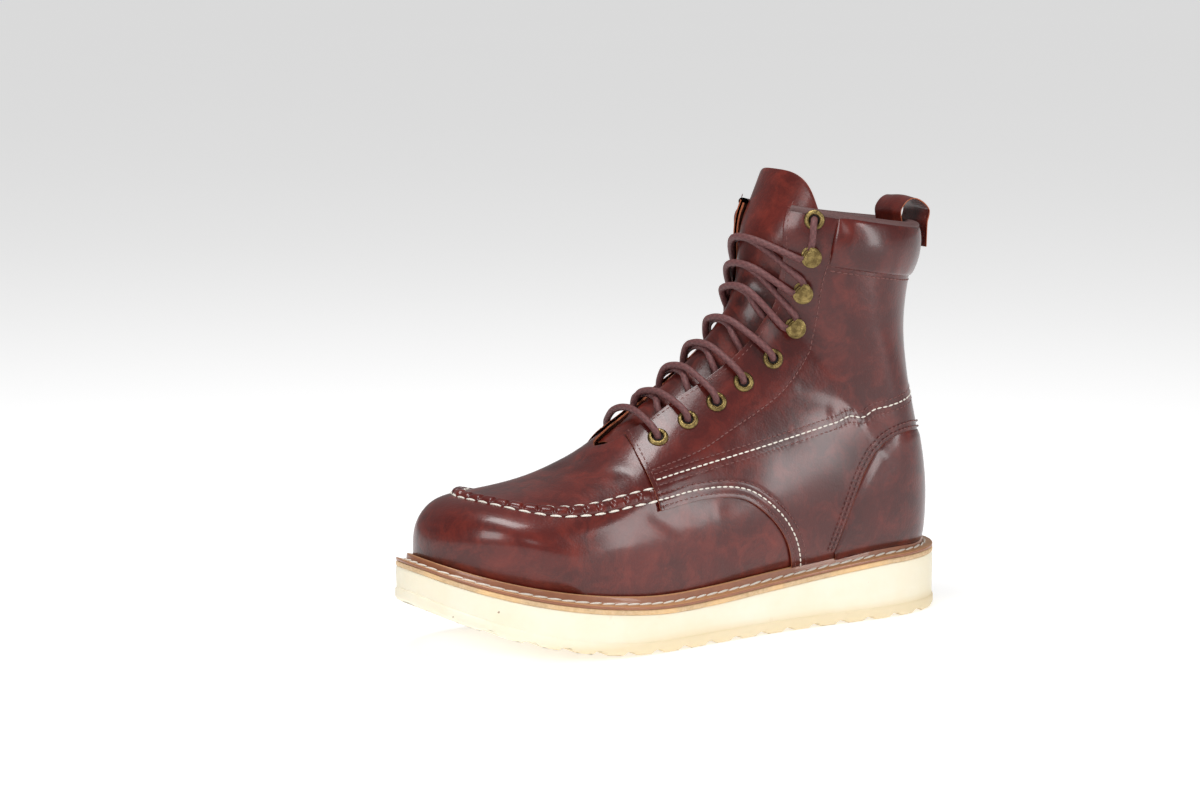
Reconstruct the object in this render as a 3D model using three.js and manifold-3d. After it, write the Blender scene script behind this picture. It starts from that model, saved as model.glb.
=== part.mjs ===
// Wedge sole work boot for the left foot, standing empty on its sole.
// Millimetres, +Z up. The toe points to -Y and the outer side is +X.
// The origin lies on the floor under the heel.
import * as THREE from 'three';
import { mergeVertices } from 'three/addons/utils/BufferGeometryUtils.js';
import Module from 'manifold-3d';

const wasm = await Module();
wasm.setup();
const { Vector2, Vector3 } = THREE;

// Driving dimensions
const SOLE_LENGTH = 306; // outsole from the back of the heel to the toe tip
const SOLE_WIDTH = 108; // outsole over the ball of the foot
const HEEL_BACK = 34; // how far the sole runs behind the origin
const HEEL_HEIGHT = 28.5; // wedge under the heel
const TOE_SPRING = 29; // the sole's underside over the floor at the toe tip
const UPPER_WIDTH = 98; // upper over the ball
const SHAFT_WIDTH = 80; // upper at the collar
const INSTEP_HEIGHT = 107; // crown of the instep over the feather line
const SHAFT_RISE = 86; // front of the collar over the instep
const BACK_HEIGHT = 165; // back of the collar over the feather line
const WALL = 2.2; // leather and lining of the upper
const OVERLAY = 1.6; // quarter over vamp
const COUNTER = 0.8; // heel counter over quarter
const GAP = 0.3; // clearance between pieces
const MIDSOLE = 2.2;
const FLANGE = 1.6; // flat of the welt
const LIP_HEIGHT = 4; // storm lip of the welt
const LIP_INSET = 5.6; // flange that shows outside the lip
const FEATHER_INSET = 9; // vamp inside the sole's edge
const INSOLE_RISE = 3; // insole over the flange
const LUG_PITCH = 17;
const LUG_DEPTH = 1.8;
const TONGUE = 2.6;
const TONGUE_WIDTH = 78;
const RIDGE_WIDTH = 6; // puckered seam round the toe
const RIDGE_HEIGHT = 2.4;
const EYELET_BORE = 4.6;
const EYELET_FLANGE = 9.6;
const HOOK_WIDTH = 9;
const LACE = 3.6;
const LOOP_WIDTH = 24;
const LOOP_THICKNESS = 2.6;

// Sole sections from heel to toe. Along is a share of SOLE_LENGTH; lateral and
// medial are shares of SOLE_WIDTH, bottom of TOE_SPRING, top of HEEL_HEIGHT.
const SOLE = [
    // along, lateral, medial, bottom, top
    [0.0, 0.0, 0.0, 0.0, 1.02],
    [0.012, 0.13, 0.13, 0.0, 1.02],
    [0.045, 0.245, 0.24, 0.0, 1.02],
    [0.1, 0.32, 0.31, 0.0, 1.01],
    [0.17, 0.352, 0.342, 0.0, 0.99],
    [0.28, 0.355, 0.335, 0.0, 0.89],
    [0.4, 0.378, 0.325, 0.0, 0.78],
    [0.52, 0.43, 0.36, 0.0, 0.7],
    [0.62, 0.478, 0.43, 0.0, 0.69],
    [0.71, 0.497, 0.487, 0.05, 0.775],
    [0.79, 0.478, 0.505, 0.18, 0.9],
    [0.86, 0.415, 0.49, 0.35, 1.05],
    [0.92, 0.315, 0.435, 0.55, 1.22],
    [0.965, 0.185, 0.345, 0.74, 1.38],
    [0.99, 0.06, 0.24, 0.87, 1.49],
    [1.0, -0.08, 0.08, 0.93, 1.53],
];
const [ALONG, LATERAL, MEDIAL, BOTTOM, TOP] = SOLE[0].map((_, c) => SOLE.map((row) => row[c]));

// Sections of the upper, as a fan over the toe, upright over the foot, a fan
// over the heel and rings up the shaft. Front and base are shares of the
// feather line's length from its heel. Rise is a share of INSTEP_HEIGHT over
// the feather line up to 1, and of SHAFT_RISE past it. Back is a share of
// BACK_HEIGHT over the feather line. Crown, lateral and medial are shares of
// UPPER_WIDTH, which runs to SHAFT_WIDTH past the instep. Girth is where the
// section is widest, and lower and upper round it below and above that.
const UPPER = [
    // front, rise, base, back, crown, lateral, medial, girth, lower, upper
    [1, 0, 0.7775, 0, -0.09, 0.44, 0.46, 0.3, 1.2, 0.9],
    [0.999, 0.083, 0.7775, 0, -0.09, 0.455, 0.475, 0.34, 1.2, 0.88],
    [0.9965, 0.168, 0.7775, 0, -0.09, 0.47, 0.485, 0.36, 1.2, 0.86],
    [0.9785, 0.262, 0.7775, 0, -0.088, 0.48, 0.49, 0.36, 1.2, 0.84],
    [0.948, 0.345, 0.7775, 0, -0.085, 0.485, 0.49, 0.36, 1.2, 0.8],
    [0.904, 0.392, 0.7775, 0, -0.08, 0.487, 0.49, 0.36, 1.3, 0.77],
    [0.8465, 0.435, 0.7775, 0, -0.075, 0.488, 0.49, 0.36, 1.35, 0.77],
    [0.7775, 0.495, 0.7775, 0, -0.07, 0.487, 0.487, 0.36, 1.4, 0.79],
    [0.7075, 0.58, 0.719, 0, -0.065, 0.48, 0.475, 0.34, 1.4, 0.84],
    [0.6396, 0.705, 0.65, 0, -0.06, 0.463, 0.45, 0.32, 1.4, 0.95],
    [0.5724, 0.855, 0.5757, 0, -0.055, 0.437, 0.415, 0.3, 1.4, 1.1],
    [0.5066, 1, 0.4854, 0, -0.045, 0.415, 0.385, 0.28, 1.35, 1.1],
    [0.4579, 1.128, 0.3844, 0, -0.04, 0.43, 0.405, 0.28, 1.3, 1.08],
    [0.4258, 1.238, 0.2838, 0, -0.03, 0.428, 0.408, 0.28, 1.25, 1.06],
    [0.407, 1.337, 0.1828, 0, -0.02, 0.43, 0.413, 0.28, 1.2, 1.04],
    [0.3952, 1.419, 0.1031, 0, -0.01, 0.435, 0.42, 0.28, 1.15, 1.02],
    [0.3882, 1.477, 0.0501, 0, 0, 0.44, 0.428, 0.28, 1.1, 1],
    [0.384, 1.523, 0.0205, 0, 0, 0.447, 0.436, 0.29, 1.05, 0.98],
    [0.3809, 1.558, 0, 0, 0, 0.455, 0.445, 0.3, 1.02, 0.97],
    [0.3771, 1.605, -0.0031, 0.079, 0, 0.457, 0.449, 0.31, 1, 0.96],
    [0.374, 1.645, -0.0042, 0.158, 0, 0.455, 0.45, 0.32, 1, 0.95],
    [0.3708, 1.686, 0.0045, 0.267, 0, 0.46, 0.455, 0.34, 1, 0.95],
    [0.3666, 1.733, 0.0219, 0.388, 0, 0.468, 0.462, 0.37, 1, 0.94],
    [0.3621, 1.779, 0.038, 0.509, 0, 0.476, 0.47, 0.4, 1, 0.93],
    [0.3569, 1.826, 0.0487, 0.63, 0, 0.484, 0.478, 0.43, 1, 0.92],
    [0.351, 1.878, 0.047, 0.764, 0, 0.492, 0.487, 0.46, 1, 0.91],
    [0.3444, 1.93, 0.032, 0.903, 0, 0.5, 0.495, 0.48, 0.98, 0.9],
    [0.3325, 2, 0.0205, 1.006, 0, 0.505, 0.5, 0.49, 0.96, 0.9],
    [0.304, 2.22, 0.0153, 1.09, 0, 0.505, 0.5, 0.49, 0.96, 0.9],
];
const PIVOT_ROW = 7;
const INSTEP_ROW = 11;
const HEEL_ROW = 18; // the first section that closes behind the heel
const LAST_ROW = UPPER.length - 1;
const COLUMNS = 20;

// A smooth curve through the values ys at the places xs.
function smooth(xs, ys, x) {
    const last = xs.length - 1;
    let i = 0;
    while (i < last - 1 && x > xs[i + 1]) i += 1;
    const slope = (k) => {
        const a = Math.max(k - 1, 0);
        const b = Math.min(k + 1, last);
        return (ys[b] - ys[a]) / (xs[b] - xs[a]);
    };
    const span = xs[i + 1] - xs[i];
    const f = Math.min(Math.max((x - xs[i]) / span, 0), 1);
    const ease = f * f * (3 - 2 * f);
    const into = f * (1 - f) * (1 - f) * slope(i) - f * f * (1 - f) * slope(i + 1);
    return ys[i] + (ys[i + 1] - ys[i]) * ease + span * into;
}

const toY = (along) => HEEL_BACK - along * SOLE_LENGTH;
const toAlong = (y) => (HEEL_BACK - y) / SOLE_LENGTH;
const bottomZ = (y) => TOE_SPRING * Math.max(smooth(ALONG, BOTTOM, toAlong(y)), 0);
const wedgeZ = (y) => HEEL_HEIGHT * smooth(ALONG, TOP, toAlong(y));
const midsoleZ = (y) => wedgeZ(y) + GAP + MIDSOLE;
const flangeZ = (y) => midsoleZ(y) + GAP + FLANGE;
const featherZ = (y) => flangeZ(y) + 2 * GAP;

// The sole's outline: a closed curve from the heel along the lateral side to
// the toe and back along the medial side.
const outlinePoints = [
    ...SOLE.map(([along, lateral]) => new Vector3(lateral * SOLE_WIDTH, toY(along), 0)),
    ...SOLE.slice(1, -1).reverse().map(
        ([along, , medial]) => new Vector3(-medial * SOLE_WIDTH, toY(along), 0),
    ),
];
const outline = new THREE.CatmullRomCurve3(outlinePoints, true, 'centripetal');
const TOE_SHARE = (SOLE.length - 1) / outlinePoints.length;

// The feather line, where upper meets sole, lies further in behind the waist,
// by the thickness of the quarter and counter that are laid over it there.
const WAIST_SHARES = [0.38, 0.47];
function featherInset(share) {
    const f = (share - WAIST_SHARES[0]) / (WAIST_SHARES[1] - WAIST_SHARES[0]);
    const fade = THREE.MathUtils.smoothstep(1 - f, 0, 1);
    return FEATHER_INSET + (OVERLAY + COUNTER) * fade;
}
const fromFeather = (more) => (share) => featherInset(share) + more;

// A point of the outline moved inwards by a number or a function of share,
// which runs from heel to toe.
function outlineAt(share, side, inset) {
    const at = side > 0 ? share * TOE_SHARE : 1 - share * (1 - TOE_SHARE);
    const p = outline.getPoint(at % 1);
    const tangent = outline.getTangent(at % 1);
    const depth = typeof inset === 'function' ? inset(share) : inset;
    return new Vector2(p.x + tangent.y * depth, p.y - tangent.x * depth);
}

const RIM_STEPS = 24;

// All points round the sole at one inset: lateral side out, medial side back.
function outlineLoop(inset) {
    const loop = [];
    for (let k = 0; k <= RIM_STEPS; k += 1) loop.push(outlineAt(k / RIM_STEPS, 1, inset));
    for (let k = RIM_STEPS - 1; k > 0; k -= 1) loop.push(outlineAt(k / RIM_STEPS, -1, inset));
    return loop;
}

function geometryOf(points, triangles) {
    const geometry = new THREE.BufferGeometry();
    const flat = points.flatMap((p) => [p.x, p.y, p.z]);
    geometry.setAttribute('position', new THREE.Float32BufferAttribute(flat, 3));
    geometry.setIndex(triangles.flat());
    return geometry;
}

// A manifold solid from a closed three.js geometry.
function solidOf(geometry) {
    const bare = geometry.clone();
    bare.deleteAttribute('normal');
    bare.deleteAttribute('uv');
    const merged = mergeVertices(bare, 1e-4);
    const index = Array.from(merged.index.array);
    const kept = [];
    for (let i = 0; i < index.length; i += 3) {
        const [a, b, c] = index.slice(i, i + 3);
        if (a !== b && b !== c && c !== a) kept.push(a, b, c);
    }
    const solid = new wasm.Manifold(new wasm.Mesh({
        numProp: 3,
        vertProperties: new Float32Array(merged.attributes.position.array),
        triVerts: new Uint32Array(kept),
    }));
    return solid;
}

function geometryFrom(solid) {
    const { vertProperties, triVerts } = solid.getMesh();
    const geometry = new THREE.BufferGeometry();
    geometry.setAttribute('position', new THREE.Float32BufferAttribute(vertProperties, 3));
    geometry.setIndex(Array.from(triVerts));
    return geometry;
}

// Triangles of a cap over a loop that mirrors about its first point.
function capTriangles(loop, flip) {
    const triangles = [];
    const count = loop.length;
    for (let k = 0; 2 * k < count - 1; k += 1) {
        const [a, b] = [loop[k], loop[k + 1]];
        const [c, d] = [loop[(count - k) % count], loop[count - k - 1]];
        triangles.push([a, b, d], [a, d, c]);
    }
    return triangles.map(([a, b, c]) => (flip ? [a, c, b] : [a, b, c])).filter(
        ([a, b, c]) => a !== b && b !== c && c !== a,
    );
}

// A closed body through loops with the same number of points, bottom first.
function loft(loops) {
    const count = loops[0].length;
    const triangles = [];
    for (let r = 0; r < loops.length - 1; r += 1) {
        for (let k = 0; k < count; k += 1) {
            const [a, b] = [r * count + k, r * count + ((k + 1) % count)];
            triangles.push([a, b + count, b], [a, a + count, b + count]);
        }
    }
    const first = loops[0].map((_, k) => k);
    const last = first.map((k) => k + (loops.length - 1) * count);
    triangles.push(...capTriangles(first, false), ...capTriangles(last, true));
    return geometryOf(loops.flat(), triangles);
}

// A solid over the whole side view, from a (y, z) outline.
function sidePrism(points) {
    const reach = SOLE_WIDTH * 1.5;
    const shape = new THREE.Shape(points.map(([y, z]) => new Vector2(y, z)));
    const geometry = new THREE.ExtrudeGeometry(shape, { depth: 2 * reach, bevelEnabled: false, steps: 1 });
    const axes = new THREE.Matrix4().makeBasis(
        new Vector3(0, 1, 0), new Vector3(0, 0, 1), new Vector3(1, 0, 0),
    );
    geometry.applyMatrix4(axes);
    geometry.translate(-reach, 0, 0);
    return solidOf(geometry);
}

const featherTip = outlineAt(1, 1, featherInset);
const featherHeel = outlineAt(0, 1, featherInset);
const featherPlace = (share) => featherHeel.y + (featherTip.y - featherHeel.y) * share;
const instepY = featherPlace(UPPER[INSTEP_ROW][0]);

// The row of the upper's table at any place between its rows.
function sectionAt(u) {
    const rows = UPPER.map((_, i) => i);
    const column = (c) => smooth(rows, UPPER.map((row) => row[c]), u);
    const [front, rise, base, back, crown, lateral, medial, girth, lower, upper] = UPPER[0].map(
        (_, c) => column(c),
    );
    const blend = Math.min(Math.max((u - INSTEP_ROW) / (HEEL_ROW - INSTEP_ROW), 0), 1);
    const width = UPPER_WIDTH + (SHAFT_WIDTH - UPPER_WIDTH) * (u > INSTEP_ROW ? blend : 0);
    const baseY = featherPlace(base);
    const frontY = featherPlace(front);
    const ground = featherZ(Math.max(Math.min(frontY, instepY), featherTip.y));
    const climb = INSTEP_HEIGHT * Math.min(rise, 1) + SHAFT_RISE * Math.max(rise - 1, 0);
    return {
        front: new Vector2(frontY, ground + climb),
        base: new Vector2(baseY, featherZ(baseY) + back * BACK_HEIGHT),
        crown: crown * width, lateral: lateral * width, medial: medial * width, girth, lower, upper,
    };
}

const HALVINGS = 24; // steps of each search for a place on a curve

// Half-width of the feather line on one side at a place along the foot.
function featherAt(y, side) {
    let low = 0;
    let high = 1;
    for (let k = 0; k < HALVINGS; k += 1) {
        const mid = (low + high) / 2;
        if (outlineAt(mid, side, featherInset).y > y) low = mid;
        else high = mid;
    }
    return { x: outlineAt(low, side, featherInset).x, share: low };
}

const HALF_STEPS = 40;

// One half of a section, as fine points from the base to the crown, evenly
// respaced by length.
function halfSection(u, side) {
    const s = sectionAt(u);
    const closed = u >= HEEL_ROW;
    const foot = closed ? { x: 0, share: 0 } : featherAt(s.base.x, side);
    const widest = side > 0 ? s.lateral : -s.medial;
    const points = [];
    const plan = Math.max(1 - u / PIVOT_ROW, 0) ** 2;
    for (let k = 0; k <= HALF_STEPS; k += 1) {
        const f = k / HALF_STEPS;
        const low = Math.min(f / s.girth, 1) * Math.PI / 2;
        const high = Math.max((f - s.girth) / (1 - s.girth), 0) * Math.PI / 2;
        let x = foot.x + (widest - foot.x) * Math.sin(low) ** s.lower;
        let along = s.girth * (1 - Math.cos(low) ** s.lower);
        if (high > 0) {
            x = s.crown + (widest - s.crown) * Math.cos(high) ** s.upper;
            along = s.girth + (1 - s.girth) * Math.sin(high) ** s.upper;
        }
        const p = new Vector3(
            x, s.base.x + (s.front.x - s.base.x) * along, s.base.y + (s.front.y - s.base.y) * along,
        );
        if (plan > 0) {
            const rim = outlineAt(foot.share + (1 - foot.share) * f, side, featherInset);
            const reach = (s.base.x - s.front.x) / (s.base.x - featherTip.y);
            const y = s.base.x + (rim.y - s.base.x) * reach;
            const z = s.base.y + (s.front.y - s.base.y) * ((rim.y - s.base.x) / (featherTip.y - s.base.x));
            const sag = (featherZ(rim.y) - featherLine(rim.y)) * plan;
            p.lerp(new Vector3(rim.x, y, z + sag), plan);
        }
        points.push(p);
    }
    return respace(points);
}

// The straight line under the toe that the feather line sags from.
function featherLine(y) {
    const pivot = featherPlace(UPPER[PIVOT_ROW][2]);
    const f = (y - pivot) / (featherTip.y - pivot);
    return featherZ(pivot) + (featherZ(featherTip.y) - featherZ(pivot)) * f;
}

// The same line with its points at even steps of length.
function respace(points) {
    const lengths = [0];
    points.slice(1).forEach((p, k) => lengths.push(lengths[k] + p.distanceTo(points[k])));
    const total = lengths[lengths.length - 1];
    return { points, shares: lengths.map((length) => length / total) };
}

function pointOn(line, f) {
    const { points, shares } = line;
    let i = 0;
    while (i < shares.length - 2 && f > shares[i + 1]) i += 1;
    const span = shares[i + 1] - shares[i];
    return points[i].clone().lerp(points[i + 1], span > 0 ? (f - shares[i]) / span : 0);
}

const sectionCache = new Map();

// A point of the upper's outer face: u counts the sections, and t runs from 0
// at the lateral base over the crown at 0.5 to 1 at the medial base.
function skin(u, t) {
    const turn = t - Math.floor(t);
    const place = t === 1 ? 1 : turn;
    const side = place <= 0.5 ? 1 : -1;
    const key = `${u.toFixed(5)}${side}`;
    if (!sectionCache.has(key)) sectionCache.set(key, halfSection(u, side));
    return pointOn(sectionCache.get(key), side > 0 ? place * 2 : (1 - place) * 2);
}

// The level outward direction of the feather line at a section's base.
function rimNormal(u, side) {
    const { share } = featherAt(sectionAt(Math.min(u, HEEL_ROW)).base.x, side);
    const inner = outlineAt(share, side, featherInset);
    const outer = outlineAt(share, side, 0);
    return new Vector3(outer.x - inner.x, outer.y - inner.y, 0).normalize();
}

// The outward direction of the upper's outer face.
function skinNormal(u, t) {
    const [du, dt] = [0.04, 0.01]; // steps each way for the two slopes
    const low = u > HEEL_ROW ? t - dt : Math.max(t - dt, 0);
    const high = u > HEEL_ROW ? t + dt : Math.min(t + dt, 1);
    const inside = Math.min(Math.max(t, 0.02), 0.98);
    const across = skin(u, high).sub(skin(u, low));
    const s = u < PIVOT_ROW + 0.5 ? inside : t;
    const up = skin(Math.min(u + du, LAST_ROW), s).sub(skin(Math.max(u - du, 0), s));
    return up.cross(across).normalize();
}

function skinPoint(u, t, offset) {
    return skin(u, t).addScaledVector(skinNormal(u, t), offset);
}

const COLUMN_SHARES = Array.from({ length: COLUMNS + 1 }, (_, j) => j / COLUMNS);

// The upper's form as a closed body, offset outwards, with its open base moved
// down by a skirt and its top by a rise.
function form(offset, skirt, rise) {
    const points = [];
    for (let i = 0; i <= LAST_ROW; i += 1) {
        COLUMN_SHARES.forEach((t, j) => {
            const edge = j === 0 || j === COLUMNS;
            const u = edge ? Math.max(i, PIVOT_ROW) : i;
            const s = i >= HEEL_ROW && edge ? 0 : t;
            const normal = skinNormal(u, s);
            if (u === 0) normal.setZ(0).normalize();
            if (u >= HEEL_ROW && edge) normal.setX(0).normalize();
            if (u < HEEL_ROW && edge) normal.copy(rimNormal(u, j === 0 ? 1 : -1));
            points.push(skin(u, s).addScaledVector(normal, offset));
        });
    }
    const at = (i, j) => i * (COLUMNS + 1) + j;
    const triangles = [];
    for (let i = 0; i < LAST_ROW; i += 1) {
        for (let j = 0; j < COLUMNS; j += 1) {
            const [a, b, c, d] = [at(i, j), at(i, j + 1), at(i + 1, j + 1), at(i + 1, j)];
            triangles.push([a, c, b], [a, d, c]);
        }
    }
    const base = [];
    for (let i = HEEL_ROW; i >= PIVOT_ROW; i -= 1) base.push(at(i, 0));
    for (let j = 1; j < COLUMNS; j += 1) base.push(at(0, j));
    for (let i = PIVOT_ROW; i < HEEL_ROW; i += 1) base.push(at(i, COLUMNS));
    const top = COLUMN_SHARES.slice(1).map((_, j) => at(LAST_ROW, j + 1));
    [[base, -skirt], [top.reverse(), rise]].forEach(([loop, shift]) => {
        const first = points.length;
        loop.forEach((k) => points.push(points[k].clone().setZ(points[k].z + shift)));
        const moved = loop.map((_, k) => first + k);
        loop.forEach((a, k) => {
            const next = (k + 1) % loop.length;
            triangles.push([a, loop[next], moved[next]], [a, moved[next], moved[k]]);
        });
        triangles.push(...capTriangles(moved, false));
    });
    return solidOf(geometryOf(points, triangles));
}

// A patch of the upper's form as a closed body between two offsets. The edges,
// offsets and the section u are functions of v, from 0 at the patch's foot to
// 1 at its top; the offsets and u also follow w, from its left to its right.
function patch({ section, rows, left, right, columns, inner, outer }) {
    const points = [];
    [outer, inner].forEach((offset) => {
        for (let i = 0; i <= rows; i += 1) {
            const v = i / rows;
            for (let j = 0; j <= columns; j += 1) {
                const w = j / columns;
                const t = left(v) + (right(v) - left(v)) * w;
                points.push(skinPoint(section(v, t), t, offset(v, w)));
            }
        }
    });
    const row = columns + 1;
    const layer = row * (rows + 1);
    const triangles = [];
    const quad = (a, b, c, d) => triangles.push([a, b, c], [a, c, d]);
    for (let i = 0; i < rows; i += 1) {
        for (let j = 0; j < columns; j += 1) {
            const a = i * row + j;
            quad(a, a + row, a + row + 1, a + 1);
            quad(layer + a, layer + a + 1, layer + a + row + 1, layer + a + row);
        }
        const [l, r] = [i * row, i * row + columns];
        quad(l, l + layer, l + layer + row, l + row);
        quad(r, r + row, r + row + layer, r + layer);
    }
    for (let j = 0; j < columns; j += 1) {
        const top = rows * row + j;
        quad(j, j + 1, j + 1 + layer, j + layer);
        quad(top, top + layer, top + layer + 1, top + 1);
    }
    return solidOf(geometryOf(points, triangles));
}

const boot = new THREE.Group();

function addPiece(name, solid, color, roughness, metalness = 0) {
    const material = new THREE.MeshStandardMaterial({ color, roughness, metalness });
    const mesh = new THREE.Mesh(geometryFrom(solid), material);
    mesh.name = name;
    boot.add(mesh);
}

const OXBLOOD = 0x5a1a18;
const CREAM = 0xeee4cc;
const TAN = 0xc9925c;
const RUST = 0xa8643a;
const LINING = 0x8a5a4c;
const BRASS = 0x8c6f3f;
const MAUVE = 0x6b3f42;

const loopAt = (inset, height) => outlineLoop(inset).map((p) => new Vector3(p.x, p.y, height(p.y)));

// Outsole: a wedge with a bevelled foot, a stepped band and cross grooves
const BEVEL = 1.2;
const BAND = 6;
const BAND_STEP = 0.7;
const wedge = solidOf(loft([
    loopAt(BEVEL, bottomZ),
    loopAt(0, (y) => bottomZ(y) + BEVEL),
    loopAt(0, (y) => bottomZ(y) + BAND),
    loopAt(BAND_STEP, (y) => bottomZ(y) + BAND + BAND_STEP),
    loopAt(BAND_STEP, wedgeZ),
]));
// Grooves cross the tread halfway between lugs, and a lug's middle is under the
// origin. Each tapers from its mouth to its floor.
const GROOVE_MOUTH = 8; // width of a groove at the sole's underside
const GROOVE_FLOOR = 3.2;
const FIRST_GROOVE = Math.floor(HEEL_BACK / LUG_PITCH) - 0.5; // pitches behind the origin
const LAST_GROOVE = Math.ceil(toY(1) / LUG_PITCH) + 0.5;
const grooves = [];
for (let pitch = FIRST_GROOVE; pitch >= LAST_GROOVE; pitch -= 1) {
    const y = pitch * LUG_PITCH;
    const z = bottomZ(y);
    grooves.push(sidePrism([
        [y - GROOVE_MOUTH / 2, z - LUG_PITCH], [y + GROOVE_MOUTH / 2, z - LUG_PITCH],
        [y + GROOVE_MOUTH / 2, z - LUG_DEPTH / 4], [y + GROOVE_FLOOR / 2, z + LUG_DEPTH],
        [y - GROOVE_FLOOR / 2, z + LUG_DEPTH], [y - GROOVE_MOUTH / 2, z - LUG_DEPTH / 4],
    ]));
}
addPiece('outsole', wedge.subtract(wasm.Manifold.union(grooves)), CREAM, 0.7);

// Midsole: the natural leather layer whose edge shows over the wedge
addPiece('midsole', solidOf(loft([
    loopAt(BAND_STEP, (y) => wedgeZ(y) + GAP),
    loopAt(BAND_STEP, midsoleZ),
])), TAN, 0.6);

// Insole: inside the welt's flange, over the midsole
const insoleInset = fromFeather(WALL + 4 * GAP);
addPiece('insole', solidOf(loft([
    loopAt(insoleInset, (y) => midsoleZ(y) + 2 * GAP),
    loopAt(insoleInset, (y) => flangeZ(y) + INSOLE_RISE),
])), LINING, 0.8);

// Welt: a flange round the sole with a storm lip against the upper
const weltSection = [
    [BAND_STEP, (y) => midsoleZ(y) + GAP],
    [BAND_STEP, flangeZ],
    [LIP_INSET, flangeZ],
    [LIP_INSET + GAP, (y) => flangeZ(y) + LIP_HEIGHT],
    [fromFeather(WALL), (y) => flangeZ(y) + LIP_HEIGHT],
    [fromFeather(WALL), (y) => midsoleZ(y) + GAP],
];
const weltLoops = weltSection.map(([inset, height]) => loopAt(inset, height));
const weltTriangles = [];
weltLoops.forEach((loop, r) => loop.forEach((_, k) => {
    const count = loop.length;
    const [next, right] = [(r + 1) % weltLoops.length, (k + 1) % count];
    const [a, b, c, d] = [r * count + k, r * count + right, next * count + right, next * count + k];
    weltTriangles.push([a, c, b], [a, d, c]);
}));
const weltRing = solidOf(geometryOf(weltLoops.flat(), weltTriangles));

// Upper: the form less its inside, with the quarter and counter as steps, the
// toe seam as a ridge, and the throat and collar cut open
const HEIGHT = featherZ(instepY) + INSTEP_HEIGHT + SHAFT_RISE;
const place = (along, height) => [toY(along), height * HEIGHT];
const PAST = [-0.1, 1.3]; // behind the heel and over the collar
const quarterSide = sidePrism([
    place(0.6, 0.6), place(0.617, 0.49), place(0.627, 0.43), place(0.621, 0.322), place(0.575, 0.335),
    place(0.54, 0.337), place(0.5, 0.336), place(0.458, 0.326), place(0.43, 0.305), place(0.404, 0.272),
    place(0.378, 0.228), place(0.36, 0.185), place(0.345, 0.14), place(0.34, 0.05),
    place(PAST[0], 0.05), place(PAST[0], PAST[1]), place(0.6, PAST[1]),
]);
const counterSide = sidePrism([
    place(0.262, 0.05), place(0.26, 0.17), place(0.247, 0.251), place(0.221, 0.344), place(0.178, 0.421),
    place(0.119, 0.474), place(0.05, 0.52), place(PAST[0], 0.56), place(PAST[0], 0.05),
]);
const COLLAR = [
    // along, height
    [0.0, 0.925], [0.1, 0.935], [0.2, 0.955], [0.29, 0.978], [0.36, 0.998], [0.45, 1.03],
];
const collarHeight = (along) => smooth(COLLAR.map((row) => row[0]), COLLAR.map((row) => row[1]), along);
const collarZ = (y) => HEIGHT * collarHeight(toAlong(y));
const collarSide = sidePrism([
    ...COLLAR.map(([along, height]) => place(along, height)),
    place(0.5, PAST[1]), place(PAST[0], PAST[1]), place(PAST[0], COLLAR[0][1]),
]);
const soleLine = ALONG.map((along) => [toY(along), featherZ(toY(along))]);
const soleSide = sidePrism([[HEEL_BACK * 2, 0], ...soleLine, [toY(1.1), featherZ(toY(1))], [toY(1.1), 0]]);

// Half of the throat's width at some sections, as a share of the girth
const THROAT_ROW = 9.55;
const QUARTER_BACKSET = 0.45; // the quarters' throat starts this much lower, in sections
const THROAT = [
    // section, half-width
    [9.55, 0.02], [9.95, 0.056], [10.6, 0.074], [11.4, 0.08], [13.1, 0.08], [16.3, 0.069],
    [20.6, 0.073], [23.2, 0.086], [26.9, 0.082], [28, 0.082],
];
const throatHalf = (u) => smooth(THROAT.map((row) => row[0]), THROAT.map((row) => row[1]), u);
const throatSection = (first, v) => first + (LAST_ROW - first) * v;
const throat = (first) => patch({
    section: (v) => throatSection(first, v), rows: 14, columns: 2,
    left: (v) => 0.5 - throatHalf(throatSection(first, v)),
    right: (v) => 0.5 + throatHalf(throatSection(first, v)),
    inner: () => -WALL * 2.5, outer: () => WALL * 3,
});

// Toe seam: the line on the upper at the seam's height
const SEAM_ENDS = [0.252, 0.735];
const SEAM_STEPS = 20;
const SEAM_STEP = 0.004; // girth share over which the seam's direction is taken
const SEAM_HEIGHTS = [
    // along, lateral height, medial height
    [0.6, 0.353, 0.372], [0.78, 0.345, 0.362], [0.86, 0.351, 0.358], [0.95, 0.36, 0.36],
];
const SEAM_SEARCH = [2.5, 10]; // sections between which the seam is looked for
function seamHeight(y, t) {
    const column = t < 0.5 ? 1 : 2;
    const alongs = SEAM_HEIGHTS.map((row) => row[0]);
    return HEIGHT * smooth(alongs, SEAM_HEIGHTS.map((row) => row[column]), toAlong(y));
}
function seamAt(t) {
    let [low, high] = SEAM_SEARCH;
    for (let k = 0; k < HALVINGS; k += 1) {
        const mid = (low + high) / 2;
        const p = skin(mid, t);
        if (p.z < seamHeight(p.y, t)) low = mid;
        else high = mid;
    }
    return low;
}
const ridgeSection = [
    // across, over the upper's face: shares of the ridge's width and height
    [0.5, -0.6], [0.42, 0.6], [0, 1], [-0.42, 0.6], [-0.5, -0.6],
];
const ridgeLoops = [];
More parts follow.
